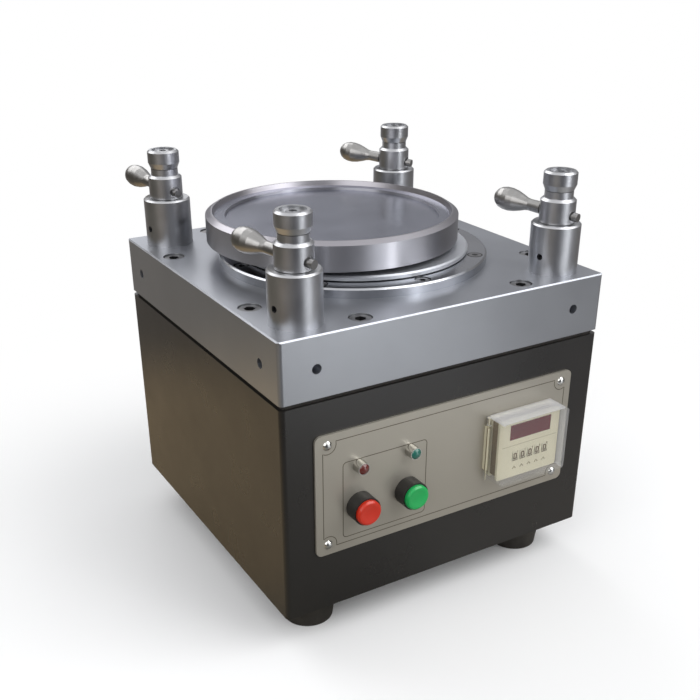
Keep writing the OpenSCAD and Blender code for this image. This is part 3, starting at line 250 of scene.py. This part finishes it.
# Materials of the posts, the flange, the carrier and the platen
RING_MID, PLATEN_MID = middle("flange_ring"), middle("platen")
polished = Look("polished_steel", srgb(180, 182, 187), rough=0.22, metal=1).tint(30, 0.06)
polished.rings(RING_MID, 260, strength=0.12, depth=0.04 * MM)
disc_metal = Look("disc_metal", srgb(200, 203, 209), rough=0.4, metal=0.75).tint(30, 0.04)
disc_metal.rings(RING_MID, 260, strength=0.14, depth=0.05 * MM)
turned = Look("turned_steel", srgb(186, 187, 190), rough=0.33, metal=1)
turned.tint(70, 0.06).gloss(90, 0.05).turned(420, strength=0.08, depth=0.04 * MM)
bright = Look("bright_steel", srgb(158, 157, 156), rough=0.33, metal=1).tint(60, 0.06)
bright.turned(500, strength=0.06, depth=0.04 * MM)
spring = Look("spring_wire", srgb(170, 171, 174), rough=0.25, metal=1).tint(200, 0.08)
platen_metal = Look("platen_metal", srgb(160, 158, 164), rough=0.3, metal=0.95)
platen_metal.tint(25, 0.04).gloss(30, 0.04).rings(PLATEN_MID, 420, strength=0.16, depth=0.05 * MM)
platen_wall = Look("platen_wall", srgb(172, 172, 178), rough=0.36, metal=1)
platen_wall.tint(25, 0.04).gloss(30, 0.02).grained()
platen_face = Look("platen_face", srgb(160, 163, 176), rough=0.22, metal=0.95)
platen_face.tint(25, 0.06).gloss(30, 0.05).rings(PLATEN_MID, 300, strength=0.2, depth=0.05 * MM)

# Materials of the drive
gear = Look("gear_steel", srgb(150, 150, 150), rough=0.35, metal=1).tint(80, 0.1).gloss(60, 0.06)
brass = Look("gear_brass", srgb(190, 165, 95), rough=0.35, metal=1).tint(60, 0.1).gloss(60, 0.06)
motor = Look("motor_paint", srgb(70, 72, 76), rough=0.45).tint(40, 0.1).gloss(60, 0.06)

# Materials of the control panel
panel = Look("panel_metal", srgb(172, 167, 156), rough=0.36, metal=0.6).tint(12, 0.03)
panel.gloss(25, 0.04).speckle(900, detail=3, strength=0.05, depth=0.05 * MM, stretch=(1, 1, 8))
groove = Look("groove", srgb(96, 90, 78), rough=0.5, metal=0.3).tint(200, 0.15)
chrome = Look("lamp_chrome", srgb(205, 205, 202), rough=0.12, metal=1).tint(80, 0.04)
red_lens = Look("lamp_lens", srgb(96, 40, 36), rough=0.12).tint(60, 0.15).coat(0.6, rough=0.05)
green_lens = Look("lamp_lens_green", srgb(38, 104, 92), rough=0.12).tint(60, 0.15)
green_lens.coat(0.6, rough=0.05)
black = Look("black_plastic", srgb(34, 33, 32), rough=0.42).tint(80, 0.2).gloss(60, 0.08)
black.speckle(1500, detail=2, strength=0.1, depth=0.1 * MM)
red = Look("red_plastic", srgb(196, 40, 14), rough=0.3).tint(50, 0.06).gloss(40, 0.04)
red.coat(0.25, rough=0.12)
green = Look("green_plastic", srgb(16, 168, 84), rough=0.28).tint(50, 0.08).gloss(40, 0.04)
green.coat(0.25, rough=0.12)

# Materials of the timer
cream = Look("cream_plastic", srgb(212, 206, 180), rough=0.4).tint(40, 0.05).gloss(50, 0.06)
# A darker band for the groove round the timer case: painted shade in the recess
timer_groove_shade = Look("case_groove_painted_shade", srgb(118, 104, 80), rough=0.5).tint(60, 0.1).gloss(50, 0.06)
faint = Look("faint_mark", srgb(150, 143, 118), rough=0.5).tint(90, 0.1)
display = Look("display_window", srgb(88, 12, 20), rough=0.22).tint(30, 0.2)
display.coat(0.4, rough=0.06)
wheel_white = Look("digit_wheel", srgb(196, 190, 166), rough=0.4).tint(60, 0.05).gloss(50, 0.05)
ink = Look("ink", srgb(98, 82, 60), rough=0.6).tint(200, 0.2)
clear = Look("clear_cover", srgb(200, 202, 205), rough=0.05).tint(20, 0.05).set("Alpha", 0.06)
# Whiter, less clear look for two walls of the cover: painted reflection
clear_wall_sheen = Look("clear_wall_sheen", srgb(226, 227, 230), rough=0.12).tint(20, 0.05).set("Alpha", 0.4)

LOOKS = {
    "rubber_feet": rubber, "gasket": rubber, "cabinet_shell": cabinet, "base_plate": zinc,
    "top_plate": plate, "deck_screws": dark_screw, "flange_screws": dark_screw,
    "inner_screws": dark_screw, "flange_ring": polished, "carrier": polished,
    "main_bearing": turned, "lower_bearing": turned, "ring_gear": gear, "bridge_plate": plate,
    "motor_pillars": turned, "gear_motor": motor, "control_panel": panel,
    "panel_screws": chrome, "lamp_holders": chrome, "lamp_lenses": red_lens,
    "button_bezels": black, "stop_cap": red, "start_cap": green, "timer_case": cream,
    "timer_display": display, "timer_cover": clear, "power_inlet": black,
    "post_sleeves": turned, "platen_bearing": turned, "carrier_spindle": turned,
    "shaft_coupling": plate, "motor_shaft": turned, "platen": platen_metal,
    "platen_shaft": turned, "planet_gear": brass,
}
WHEELS = range(1, 6)
for wheel in WHEELS:
    LOOKS[f"timer_wheel_{wheel}"] = wheel_white
for post in ("fl", "fr", "bl", "br"):
    LOOKS[f"post_guide_{post}"] = turned
    LOOKS[f"post_spring_{post}"] = spring
    LOOKS[f"post_spindle_{post}"] = turned
    LOOKS[f"post_lever_{post}"] = bright
    LOOKS[f"post_knob_{post}"] = turned
for name, node in NODES.items():
    for place in node.material_slots:
        place.material = LOOKS[name].mat


# Share of a face's normal that lies along an axis: under WALL or CASE_SIDE the face runs along
# the axis, over FACING it looks that way, and over FLAT it looks straight that way
WALL, CASE_SIDE, FACING, FLAT = 0.3, 0.5, 0.6, 0.9
RIM_DEPTH = 1 * MM
GROOVE_FROM, GROOVE_TO = 2.4 * MM, 8.5 * MM
SCREW_OFF, SCREW_OUT = 57.5 * MM, 103.5 * MM
SCREW_HEX, SCREW_DEPTH = 3.6 * MM, 18 * MM
FLANGE_PITCH, FLANGE_HEX, FLANGE_RISE = 81 * MM, 2.25 * MM, 1 * MM


def split(name, look, test):
    """Give the faces of a node that pass the test a second material."""
    mesh = NODES[name].data
    mesh.materials.append(look.mat)
    index = len(mesh.materials) - 1
    for face in mesh.polygons:
        if test(face.center, face.normal):
            face.material_index = index


def on_cover_sheen_wall(at, n):
    """The clear cover's top wall and right wall, which are made whiter and less clear: a painted
    reflection.
    """
    on_top = abs(n.z) > FACING and at.z > COVER_MID.z
    on_right = abs(n.x) > FACING and at.x > COVER_MID.x
    return on_top or on_right


def in_case_groove(at, n):
    return abs(n.y) < CASE_SIDE and GROOVE_FROM < PANEL_FACE - at.y < GROOVE_TO


def in_hex(axes, reach, low):
    """Test for the faces in the hexagon recess of a screw that stands on one of the axes."""
    def test(at, n):
        near = min(math.hypot(at.x - x, at.y - y) for x, y in axes)
        return at.z > low and near < reach and (n.z > FACING or abs(n.z) < WALL)
    return test


def screw_axes():
    """Places of the deck screws, which stand in pairs at the corners."""
    return [
        (AXIS.x + sx * a, AXIS.y + sy * b)
        for sx in (-1, 1) for sy in (-1, 1)
        for a, b in ((SCREW_OFF, SCREW_OUT), (SCREW_OUT, SCREW_OFF))
    ]


def flange_place(degrees):
    """A place on the circle of the flange's screws."""
    turn = math.radians(degrees)
    return AXIS + Vector((FLANGE_PITCH * math.cos(turn), FLANGE_PITCH * math.sin(turn), 0))


lens_mid = middle("lamp_lenses").x
flange_axes = [flange_place(QUARTER * k).to_2d() for k in range(4)]
split("lamp_lenses", green_lens, lambda at, n: at.x > lens_mid)
# The cover's top and right walls get the painted reflection
split("timer_cover", clear_wall_sheen, on_cover_sheen_wall)
split("top_plate", plate_side, lambda at, n: abs(n.z) < WALL)
split("platen", platen_face, lambda at, n: n.z > FLAT and at.z < PLATEN_TOP - RIM_DEPTH)
split("platen", platen_wall, lambda at, n: abs(n.z) < WALL)
# Side faces in the case's groove get the darker look: painted shade
split("timer_case", timer_groove_shade, in_case_groove)
# Faces in the screws' hex sockets get the near-black look: painted shade
split("deck_screws", hex_painted_shade, in_hex(screw_axes(), SCREW_HEX, DECK - SCREW_DEPTH))
split("flange_screws", hex_painted_shade, in_hex(flange_axes, FLANGE_HEX, DECK + FLANGE_RISE))


def piece(name, verts, faces, look, body):
    """A new piece that rides on a body of the CAD model."""
    mesh = bpy.data.meshes.new(name)
    mesh.from_pydata([tuple(v) for v in verts], [], faces)
    mesh.update()
    work = bmesh.new()
    work.from_mesh(mesh)
    bmesh.ops.recalc_face_normals(work, faces=work.faces)
    work.to_mesh(mesh)
    work.free()
    mesh.materials.append(look.mat)
    made = bpy.data.objects.new(name, mesh)
    bpy.context.scene.collection.objects.link(made)
    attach(made, body)
    return made


# How far the lines on the control panel and the timer stand out from the face
LINE_PROUD = 0.05 * MM


def strip(name, path, width, front, look, closed=True):
    """A flat line that lies on an upright face and follows path, given as (x, z)."""
    n = len(path)
    verts, faces = [], []
    for i, (x, z) in enumerate(path):
        before = path[i - 1] if closed or i else path[i]
        after = path[(i + 1) % n] if closed or i < n - 1 else path[i]
        dx, dz = after[0] - before[0], after[1] - before[1]
        size = math.hypot(dx, dz)
        nx, nz = -dz / size * width / 2, dx / size * width / 2
        for side, depth in ((-1, 0), (1, 0), (1, -LINE_PROUD), (-1, -LINE_PROUD)):
            verts.append((x + side * nx, front + depth, z + side * nz))
    for i in range(n if closed else n - 1):
        a, b = i * 4, (i + 1) % n * 4
        for k in range(4):
            faces.append((a + k, a + (k + 1) % 4, b + (k + 1) % 4, b + k))
    if not closed:
        last = (n - 1) * 4
        faces += [(0, 1, 2, 3), (last + 3, last + 2, last + 1, last)]
    return piece(name, verts, faces, look, "frame")


def arc(cx, cz, r, start, end, steps):
    """Points on an arc, from one direction to another in degrees."""
    turns = [math.radians(start + (end - start) * k / steps) for k in range(steps + 1)]
    return [(cx + r * math.cos(turn), cz + r * math.sin(turn)) for turn in turns]


# Engraved border of the control panel, which goes round each corner screw
ENGRAVED = 0.5 * MM
BORDER_IN = 5 * MM
SCREW_IN_X, SCREW_IN_Z = 8.2 * MM, 6.8 * MM
SCREW_ARC, SCREW_ARC_STEPS = 5.6 * MM, 12


def border_path():
    reach_x = math.sqrt(SCREW_ARC ** 2 - (SCREW_IN_Z - BORDER_IN) ** 2)
    reach_z = math.sqrt(SCREW_ARC ** 2 - (SCREW_IN_X - BORDER_IN) ** 2)
    corners = (
        (PANEL_HIGH.x, PANEL_HIGH.z, -1, -1), (PANEL_LOW.x, PANEL_HIGH.z, 1, -1),
        (PANEL_LOW.x, PANEL_LOW.z, 1, 1), (PANEL_HIGH.x, PANEL_LOW.z, -1, 1),
    )
    path = []
    for index, (x, z, sx, sz) in enumerate(corners):
        upright_line = math.atan2(sz * reach_z, sx * (BORDER_IN - SCREW_IN_X))
        level_line = math.atan2(sz * (BORDER_IN - SCREW_IN_Z), sx * reach_x)
        start, end = math.degrees(upright_line), math.degrees(level_line)
        if index % 2:
            start, end = end, start
        short_way = (end - start + 180) % 360 - 180
        center = (x + sx * SCREW_IN_X, z + sz * SCREW_IN_Z)
        path += arc(*center, SCREW_ARC, start, start + short_way, SCREW_ARC_STEPS)
    return path


# Engraved line round the buttons
INNER_LEFT, INNER_RIGHT = AXIS.x - 76.7 * MM, AXIS.x - 17.9 * MM
INNER_LOW, INNER_HIGH = DECK - 132 * MM, DECK - 81.2 * MM
INNER_R, INNER_STEPS = 2.5 * MM, 6


def inner_path():
    left, right = INNER_LEFT + INNER_R, INNER_RIGHT - INNER_R
    low, high = INNER_LOW + INNER_R, INNER_HIGH - INNER_R
    path = []
    for k, center in enumerate(((right, high), (left, high), (left, low), (right, low))):
        path += arc(*center, INNER_R, QUARTER * k, QUARTER * (k + 1), INNER_STEPS)
    return path


strip("panel_border", border_path(), ENGRAVED, PANEL_FACE, groove)
strip("panel_inner_line", inner_path(), ENGRAVED, PANEL_FACE, groove)


# Numerals round each digit wheel, made of up to seven segments
SEGMENTS = {
    "a": (0, 1, 1, 1), "b": (1, 1, 1, 0), "c": (1, 0, 1, -1), "d": (0, -1, 1, -1),
    "e": (0, 0, 0, -1), "f": (0, 1, 0, 0), "g": (0, 0, 1, 0),
}
SHAPES = ("abcdef", "bc", "abged", "abgcd", "fgbc", "afgcd", "afgedc", "abc", "abcdefg", "abcdfg")
NUMERAL_SHARE = 0.5
NUMERAL_TALL, PEN, NUMERAL_PROUD = 3.4 * MM, 0.9 * MM, 0.06 * MM
BLOCK = ((0, 1, 2, 3), (4, 5, 6, 7), (0, 1, 5, 4), (1, 2, 6, 5), (2, 3, 7, 6), (3, 0, 4, 7))


def pen_width(low, high):
    """A segment's span, which is the pen's width where the segment has none."""
    if high - low < PEN:
        return low - PEN / 2, low + PEN / 2
    return low, high


def numerals(wheel):
    name = f"timer_wheel_{wheel}"
    low, high = box(name)
    mid = (low + high) / 2
    radius = (high.z - low.z) / 2
    wide = (high.x - low.x) * NUMERAL_SHARE
    verts, faces = [], []
    for digit, shape in enumerate(SHAPES):
        base = math.tau * digit / len(SHAPES)
        for part in shape:
            x0, z0, x1, z1 = SEGMENTS[part]
            left, right = pen_width(*sorted(mid.x + (x - 0.5) * wide for x in (x0, x1)))
            foot, head = pen_width(*sorted(z * NUMERAL_TALL / 2 for z in (z0, z1)))
            start = len(verts)
            for r in (radius - NUMERAL_PROUD, radius + NUMERAL_PROUD):
                for x, s in ((left, foot), (right, foot), (right, head), (left, head)):
                    turn = base + s / radius
                    verts.append((x, mid.y - r * math.cos(turn), mid.z + r * math.sin(turn)))
            faces += [tuple(start + k for k in quad) for quad in BLOCK]
    piece(f"numerals_{wheel}", verts, faces, ink, f"digit_{wheel}")


# Marks below the digit wheels, and the fine line over the timer's middle
MARK_HALF, MARK_FOOT, MARK_TIP, MARK_PEN = 1.3 * MM, 15 * MM, 13.4 * MM, 0.9 * MM
HAIR_HALF, HAIR_RISE, HAIR = 22 * MM, 2 * MM, 0.3 * MM


def wheel_mark(wheel):
    x = middle(f"timer_wheel_{wheel}").x
    foot = COVER_MID.z - MARK_FOOT
    path = [(x - MARK_HALF, foot), (x, COVER_MID.z - MARK_TIP), (x + MARK_HALF, foot)]
    strip(f"wheel_mark_{wheel}", path, MARK_PEN, CASE_FACE, faint, closed=False)


def timer_line():
    x, z = middle("timer_display").x, COVER_MID.z + HAIR_RISE
    path = [(x - HAIR_HALF, z), (x + HAIR_HALF, z)]
    strip("timer_line", path, HAIR, CASE_FACE, faint, closed=False)


for wheel in WHEELS:
    numerals(wheel)
    wheel_mark(wheel)
timer_line()


def lathe(name, profile, axis, look, body, sides):
    """A turned piece about an upright axis, from (radius, height over the deck) in millimetres."""
    verts, faces, rings = [], [], []
    for r, z in profile:
        count = sides if r else 1
        rings.append((len(verts), count))
        for k in range(count):
            turn = math.tau * k / sides
            x, y = axis.x + r * MM * math.cos(turn), axis.y + r * MM * math.sin(turn)
            verts.append((x, y, DECK + z * MM))
    for (a, in_a), (b, in_b) in zip(rings, rings[1:]):
        for k in range(sides):
            quad = [a + k % in_a, a + (k + 1) % in_a, b + (k + 1) % in_b, b + k % in_b]
            faces.append(tuple(dict.fromkeys(quad)))
    return piece(name, verts, faces, look, body)


# Carrier disc as the photograph shows it, in millimetres
DISC_SIDES, HUB_R, DISC_R, DISC_CHAMFER = 128, 38, 75.5, 1.1
DISC_UNDER, DISC_SHOULDER, DISC_TOP = 6.6, 8.6, 9.5
hub_foot = (box("carrier")[0].z - DECK) / MM
disc_profile = [
    (0, hub_foot), (HUB_R, hub_foot), (HUB_R, DISC_UNDER), (DISC_R, DISC_UNDER),
    (DISC_R, DISC_SHOULDER), (DISC_R - DISC_CHAMFER, DISC_TOP), (0, DISC_TOP),
]
disc = lathe("carrier_disc", disc_profile, AXIS, disc_metal, "rotor", DISC_SIDES)
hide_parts("carrier")

# Heads of the flange screws between the four that the CAD model has, in millimetres
BORE_R, BORE_IN_R, HEAD_R, HEX_R = 5, 4.2, 4.3, 2.1
HEAD_FOOT, BORE_TOP, HEAD_TOP, HEX_TOP = 6.02, 6.05, 6.08, 6.1
HEAD_SIDES, HEX_SIDES = 32, 6
BORE_PROFILE = [(BORE_IN_R, HEAD_FOOT), (BORE_R, HEAD_FOOT), (BORE_R, BORE_TOP), (BORE_IN_R, BORE_TOP)]


def disc_between(r, low, high):
    return [(0, low), (r, low), (r, high), (0, high)]


# The counterbore ring and the hex socket are flat near-black pieces: painted shade
FLANGE_HEADS = (
    ("counterbore", BORE_PROFILE, hex_painted_shade, HEAD_SIDES),
    ("flange_screw", disc_between(HEAD_R, HEAD_FOOT, HEAD_TOP), dark_screw, HEAD_SIDES),
    ("flange_hex_painted_shade", disc_between(HEX_R, HEAD_TOP, HEX_TOP), hex_painted_shade, HEX_SIDES),
)
for k in range(4):
    at = flange_place(QUARTER * (k + 0.5))
    for name, profile, look, sides in FLANGE_HEADS:
        lathe(f"{name}_{k}", profile, at, look, "frame", sides)


# Tones of the surroundings that the metal mirrors, by the direction in degrees from +x
# On the floor, the darkest tones toward the camera, near -121, are a painted shadow, and the bright
# far band from -84 to -64 is a painted patch of light
FAR_TONES = (
    (-165, (0.18, 0.15, 0.12)), (-135, (0.13, 0.12, 0.11)), (-112, (0.09, 0.09, 0.1)),
    (-94, (0.12, 0.12, 0.13)), (-84, (0.78, 0.8, 0.83)), (-64, (0.78, 0.8, 0.83)),
    (-50, (0.22, 0.22, 0.23)), (-10, (0.17, 0.16, 0.15)), (45, (0.3, 0.3, 0.31)),
    (75, (0.34, 0.34, 0.36)), (110, (0.19, 0.17, 0.15)), (140, (0.13, 0.12, 0.1)),
)
NEAR_TONES = (
    (-165, (0.52, 0.4, 0.25)), (-135, (0.24, 0.22, 0.18)), (-112, (0.2, 0.2, 0.19)),
    (-76, (0.44, 0.43, 0.41)), (-38, (0.36, 0.34, 0.32)), (-10, (0.3, 0.27, 0.22)),
    (45, (0.4, 0.33, 0.24)), (100, (0.48, 0.36, 0.22)), (140, (0.52, 0.4, 0.25)),
)
NEAR_END, FAR_START = 0.3, 0.5
SKY_LOW, SKY_HIGH = 0.27, 0.8
WHITE = (1, 1, 1, 1)
PALE = (0.92, 0.92, 0.92, 1)
PALE_ROUGH, PALE_SPECULAR = 0.8, 0.1
SKY_LIGHT, SKY_STRENGTH = (0.97, 0.98, 1, 1), 0.5
FLOOR_HALF, FLOOR_DROP = 8.0, 0.2 * MM
FADE_START, FADE_END = 0.16, 0.5


def tone_ramp(tree, toward, tones):
    """The tone that lies in the direction of a vector, seen from above."""
    round_it = new_node(tree, "TexGradient", gradient_type="RADIAL")
    node = new_node(tree, "ValToRGB")
    for place, color in tones:
        stop = node.color_ramp.elements.new((place + 180) / 360)
        stop.color = (*color, 1)
    for edge in (node.color_ramp.elements[-1], node.color_ramp.elements[0]):
        edge.color = (*tones[-1][1], 1)
    tree.links.new(toward, round_it.inputs["Vector"])
    tree.links.new(round_it.outputs["Fac"], node.inputs["Fac"])
    return node.outputs["Color"]


def smooth_step(tree, value, low, high):
    """Rises softly from 0 at low to 1 at high."""
    node = new_node(
        tree, "MapRange", {"From Min": low, "From Max": high}, interpolation_type="SMOOTHSTEP",
    )
    tree.links.new(value, node.inputs["Value"])
    return node.outputs["Result"]


def mix_shaders(tree, share, first, second):
    node = new_node(tree, "MixShader")
    for out, into in ((share, 0), (first, 1), (second, 2)):
        tree.links.new(out, node.inputs[into])
    return node.outputs["Shader"]


def mirrored_floor(tree, coords, reach):
    """What all rays but the camera's own meet: near tones by the object, far tones beyond."""
    tone = new_node(tree, "MixRGB")
    tree.links.new(smooth_step(tree, reach, NEAR_END, FAR_START), tone.inputs["Fac"])
    tree.links.new(tone_ramp(tree, coords, NEAR_TONES), tone.inputs["Color1"])
    tree.links.new(tone_ramp(tree, coords, FAR_TONES), tone.inputs["Color2"])
    bench = new_node(tree, "BsdfDiffuse")
    tree.links.new(tone.outputs["Color"], bench.inputs["Color"])
    return bench.outputs["BSDF"]


def floor_material():
    mat = bpy.data.materials.new("floor")
    mat.use_nodes = True
    tree = mat.node_tree
    pale = tree.nodes["Principled BSDF"]
    pale.inputs["Base Color"].default_value = PALE
    pale.inputs["Roughness"].default_value = PALE_ROUGH
    pale.inputs["Specular IOR Level"].default_value = PALE_SPECULAR
    white = new_node(tree, "Emission", {"Color": WHITE})
    coords = new_node(tree, "TexCoord").outputs["Object"]
    reach = new_node(tree, "VectorMath", operation="LENGTH")
    tree.links.new(coords, reach.inputs[0])
    reach = reach.outputs["Value"]
    fade = smooth_step(tree, reach, FADE_START, FADE_END)
    seen = mix_shaders(tree, fade, pale.outputs["BSDF"], white.outputs["Emission"])
    straight = new_node(tree, "LightPath").outputs["Is Camera Ray"]
    whole = mix_shaders(tree, straight, mirrored_floor(tree, coords, reach), seen)
    tree.links.new(whole, tree.nodes["Material Output"].inputs["Surface"])
    return mat


def make_floor():
    """A pale floor with a soft contact shadow that runs out into white."""
    mesh = bpy.data.meshes.new("floor")
    corners = [(FLOOR_HALF * x, FLOOR_HALF * y, 0) for x, y in ((-1, -1), (1, -1), (1, 1), (-1, 1))]
    mesh.from_pydata(corners, [], [(0, 1, 2, 3)])
    mesh.materials.append(floor_material())
    made = bpy.data.objects.new("floor", mesh)
    bpy.context.scene.collection.objects.link(made)
    made.location.z = -FLOOR_DROP


def mirrored_sky(tree):
    """White above, and the far tones near the ground."""
    toward = new_node(tree, "TexCoord").outputs["Generated"]
    height = new_node(tree, "SeparateXYZ")
    tree.links.new(toward, height.inputs["Vector"])
    sky = new_node(tree, "MixRGB", {"Color2": WHITE})
    tree.links.new(smooth_step(tree, height.outputs["Z"], SKY_LOW, SKY_HIGH), sky.inputs["Fac"])
    tree.links.new(tone_ramp(tree, toward, FAR_TONES), sky.inputs["Color1"])
    shown = new_node(tree, "Background")
    tree.links.new(sky.outputs["Color"], shown.inputs["Color"])
    return shown.outputs["Background"]


def make_world():
    """White behind the object and through the cover; in mirrors, darker near the ground."""
    world = bpy.data.worlds.new("world")
    bpy.context.scene.world = world
    world.use_nodes = True
    tree = world.node_tree
    light = tree.nodes["Background"]
    light.inputs["Color"].default_value = SKY_LIGHT
    light.inputs["Strength"].default_value = SKY_STRENGTH
    white = new_node(tree, "Background", {"Color": WHITE})
    path = new_node(tree, "LightPath").outputs
    straight = new_node(tree, "Math", operation="MAXIMUM")
    tree.links.new(path["Is Camera Ray"], straight.inputs[0])
    tree.links.new(path["Is Transmission Ray"], straight.inputs[1])
    lit = mix_shaders(tree, path["Is Glossy Ray"], light.outputs["Background"], mirrored_sky(tree))
    whole = mix_shaders(tree, straight.outputs["Value"], lit, white.outputs["Background"])
    tree.links.new(whole, tree.nodes["World Output"].inputs["Surface"])


# Lamps, each with its place, what it aims at, its two sides and its power
LAMPS = {
    "key": ((0.9, -1.1, 1.5), (0, 0, 0.12), (1.7, 1.7), 25),
    "fill": ((-1.3, -0.7, 0.9), (0, 0, 0.15), (1.3, 1.3), 9),
    "back": ((-0.3, 1.3, 1.3), (0, 0, 0.2), (2, 1), 13),
    "strip": ((0.34, -0.9, 0.36), (0, 0, 0.22), (0.1, 0.6), 0.7),
}


def make_lamp(name, place, aim, size, power):
    data = bpy.data.lights.new(name, "AREA")
    data.shape = "RECTANGLE"
    data.size, data.size_y = size
    data.energy = power
    lamp = bpy.data.objects.new(name, data)
    lamp.location = place
    lamp.rotation_euler = (Vector(aim) - Vector(place)).to_track_quat("-Z", "Y").to_euler()
    bpy.context.scene.collection.objects.link(lamp)


make_floor()
make_world()
for name, facts in LAMPS.items():
    make_lamp(name, *facts)
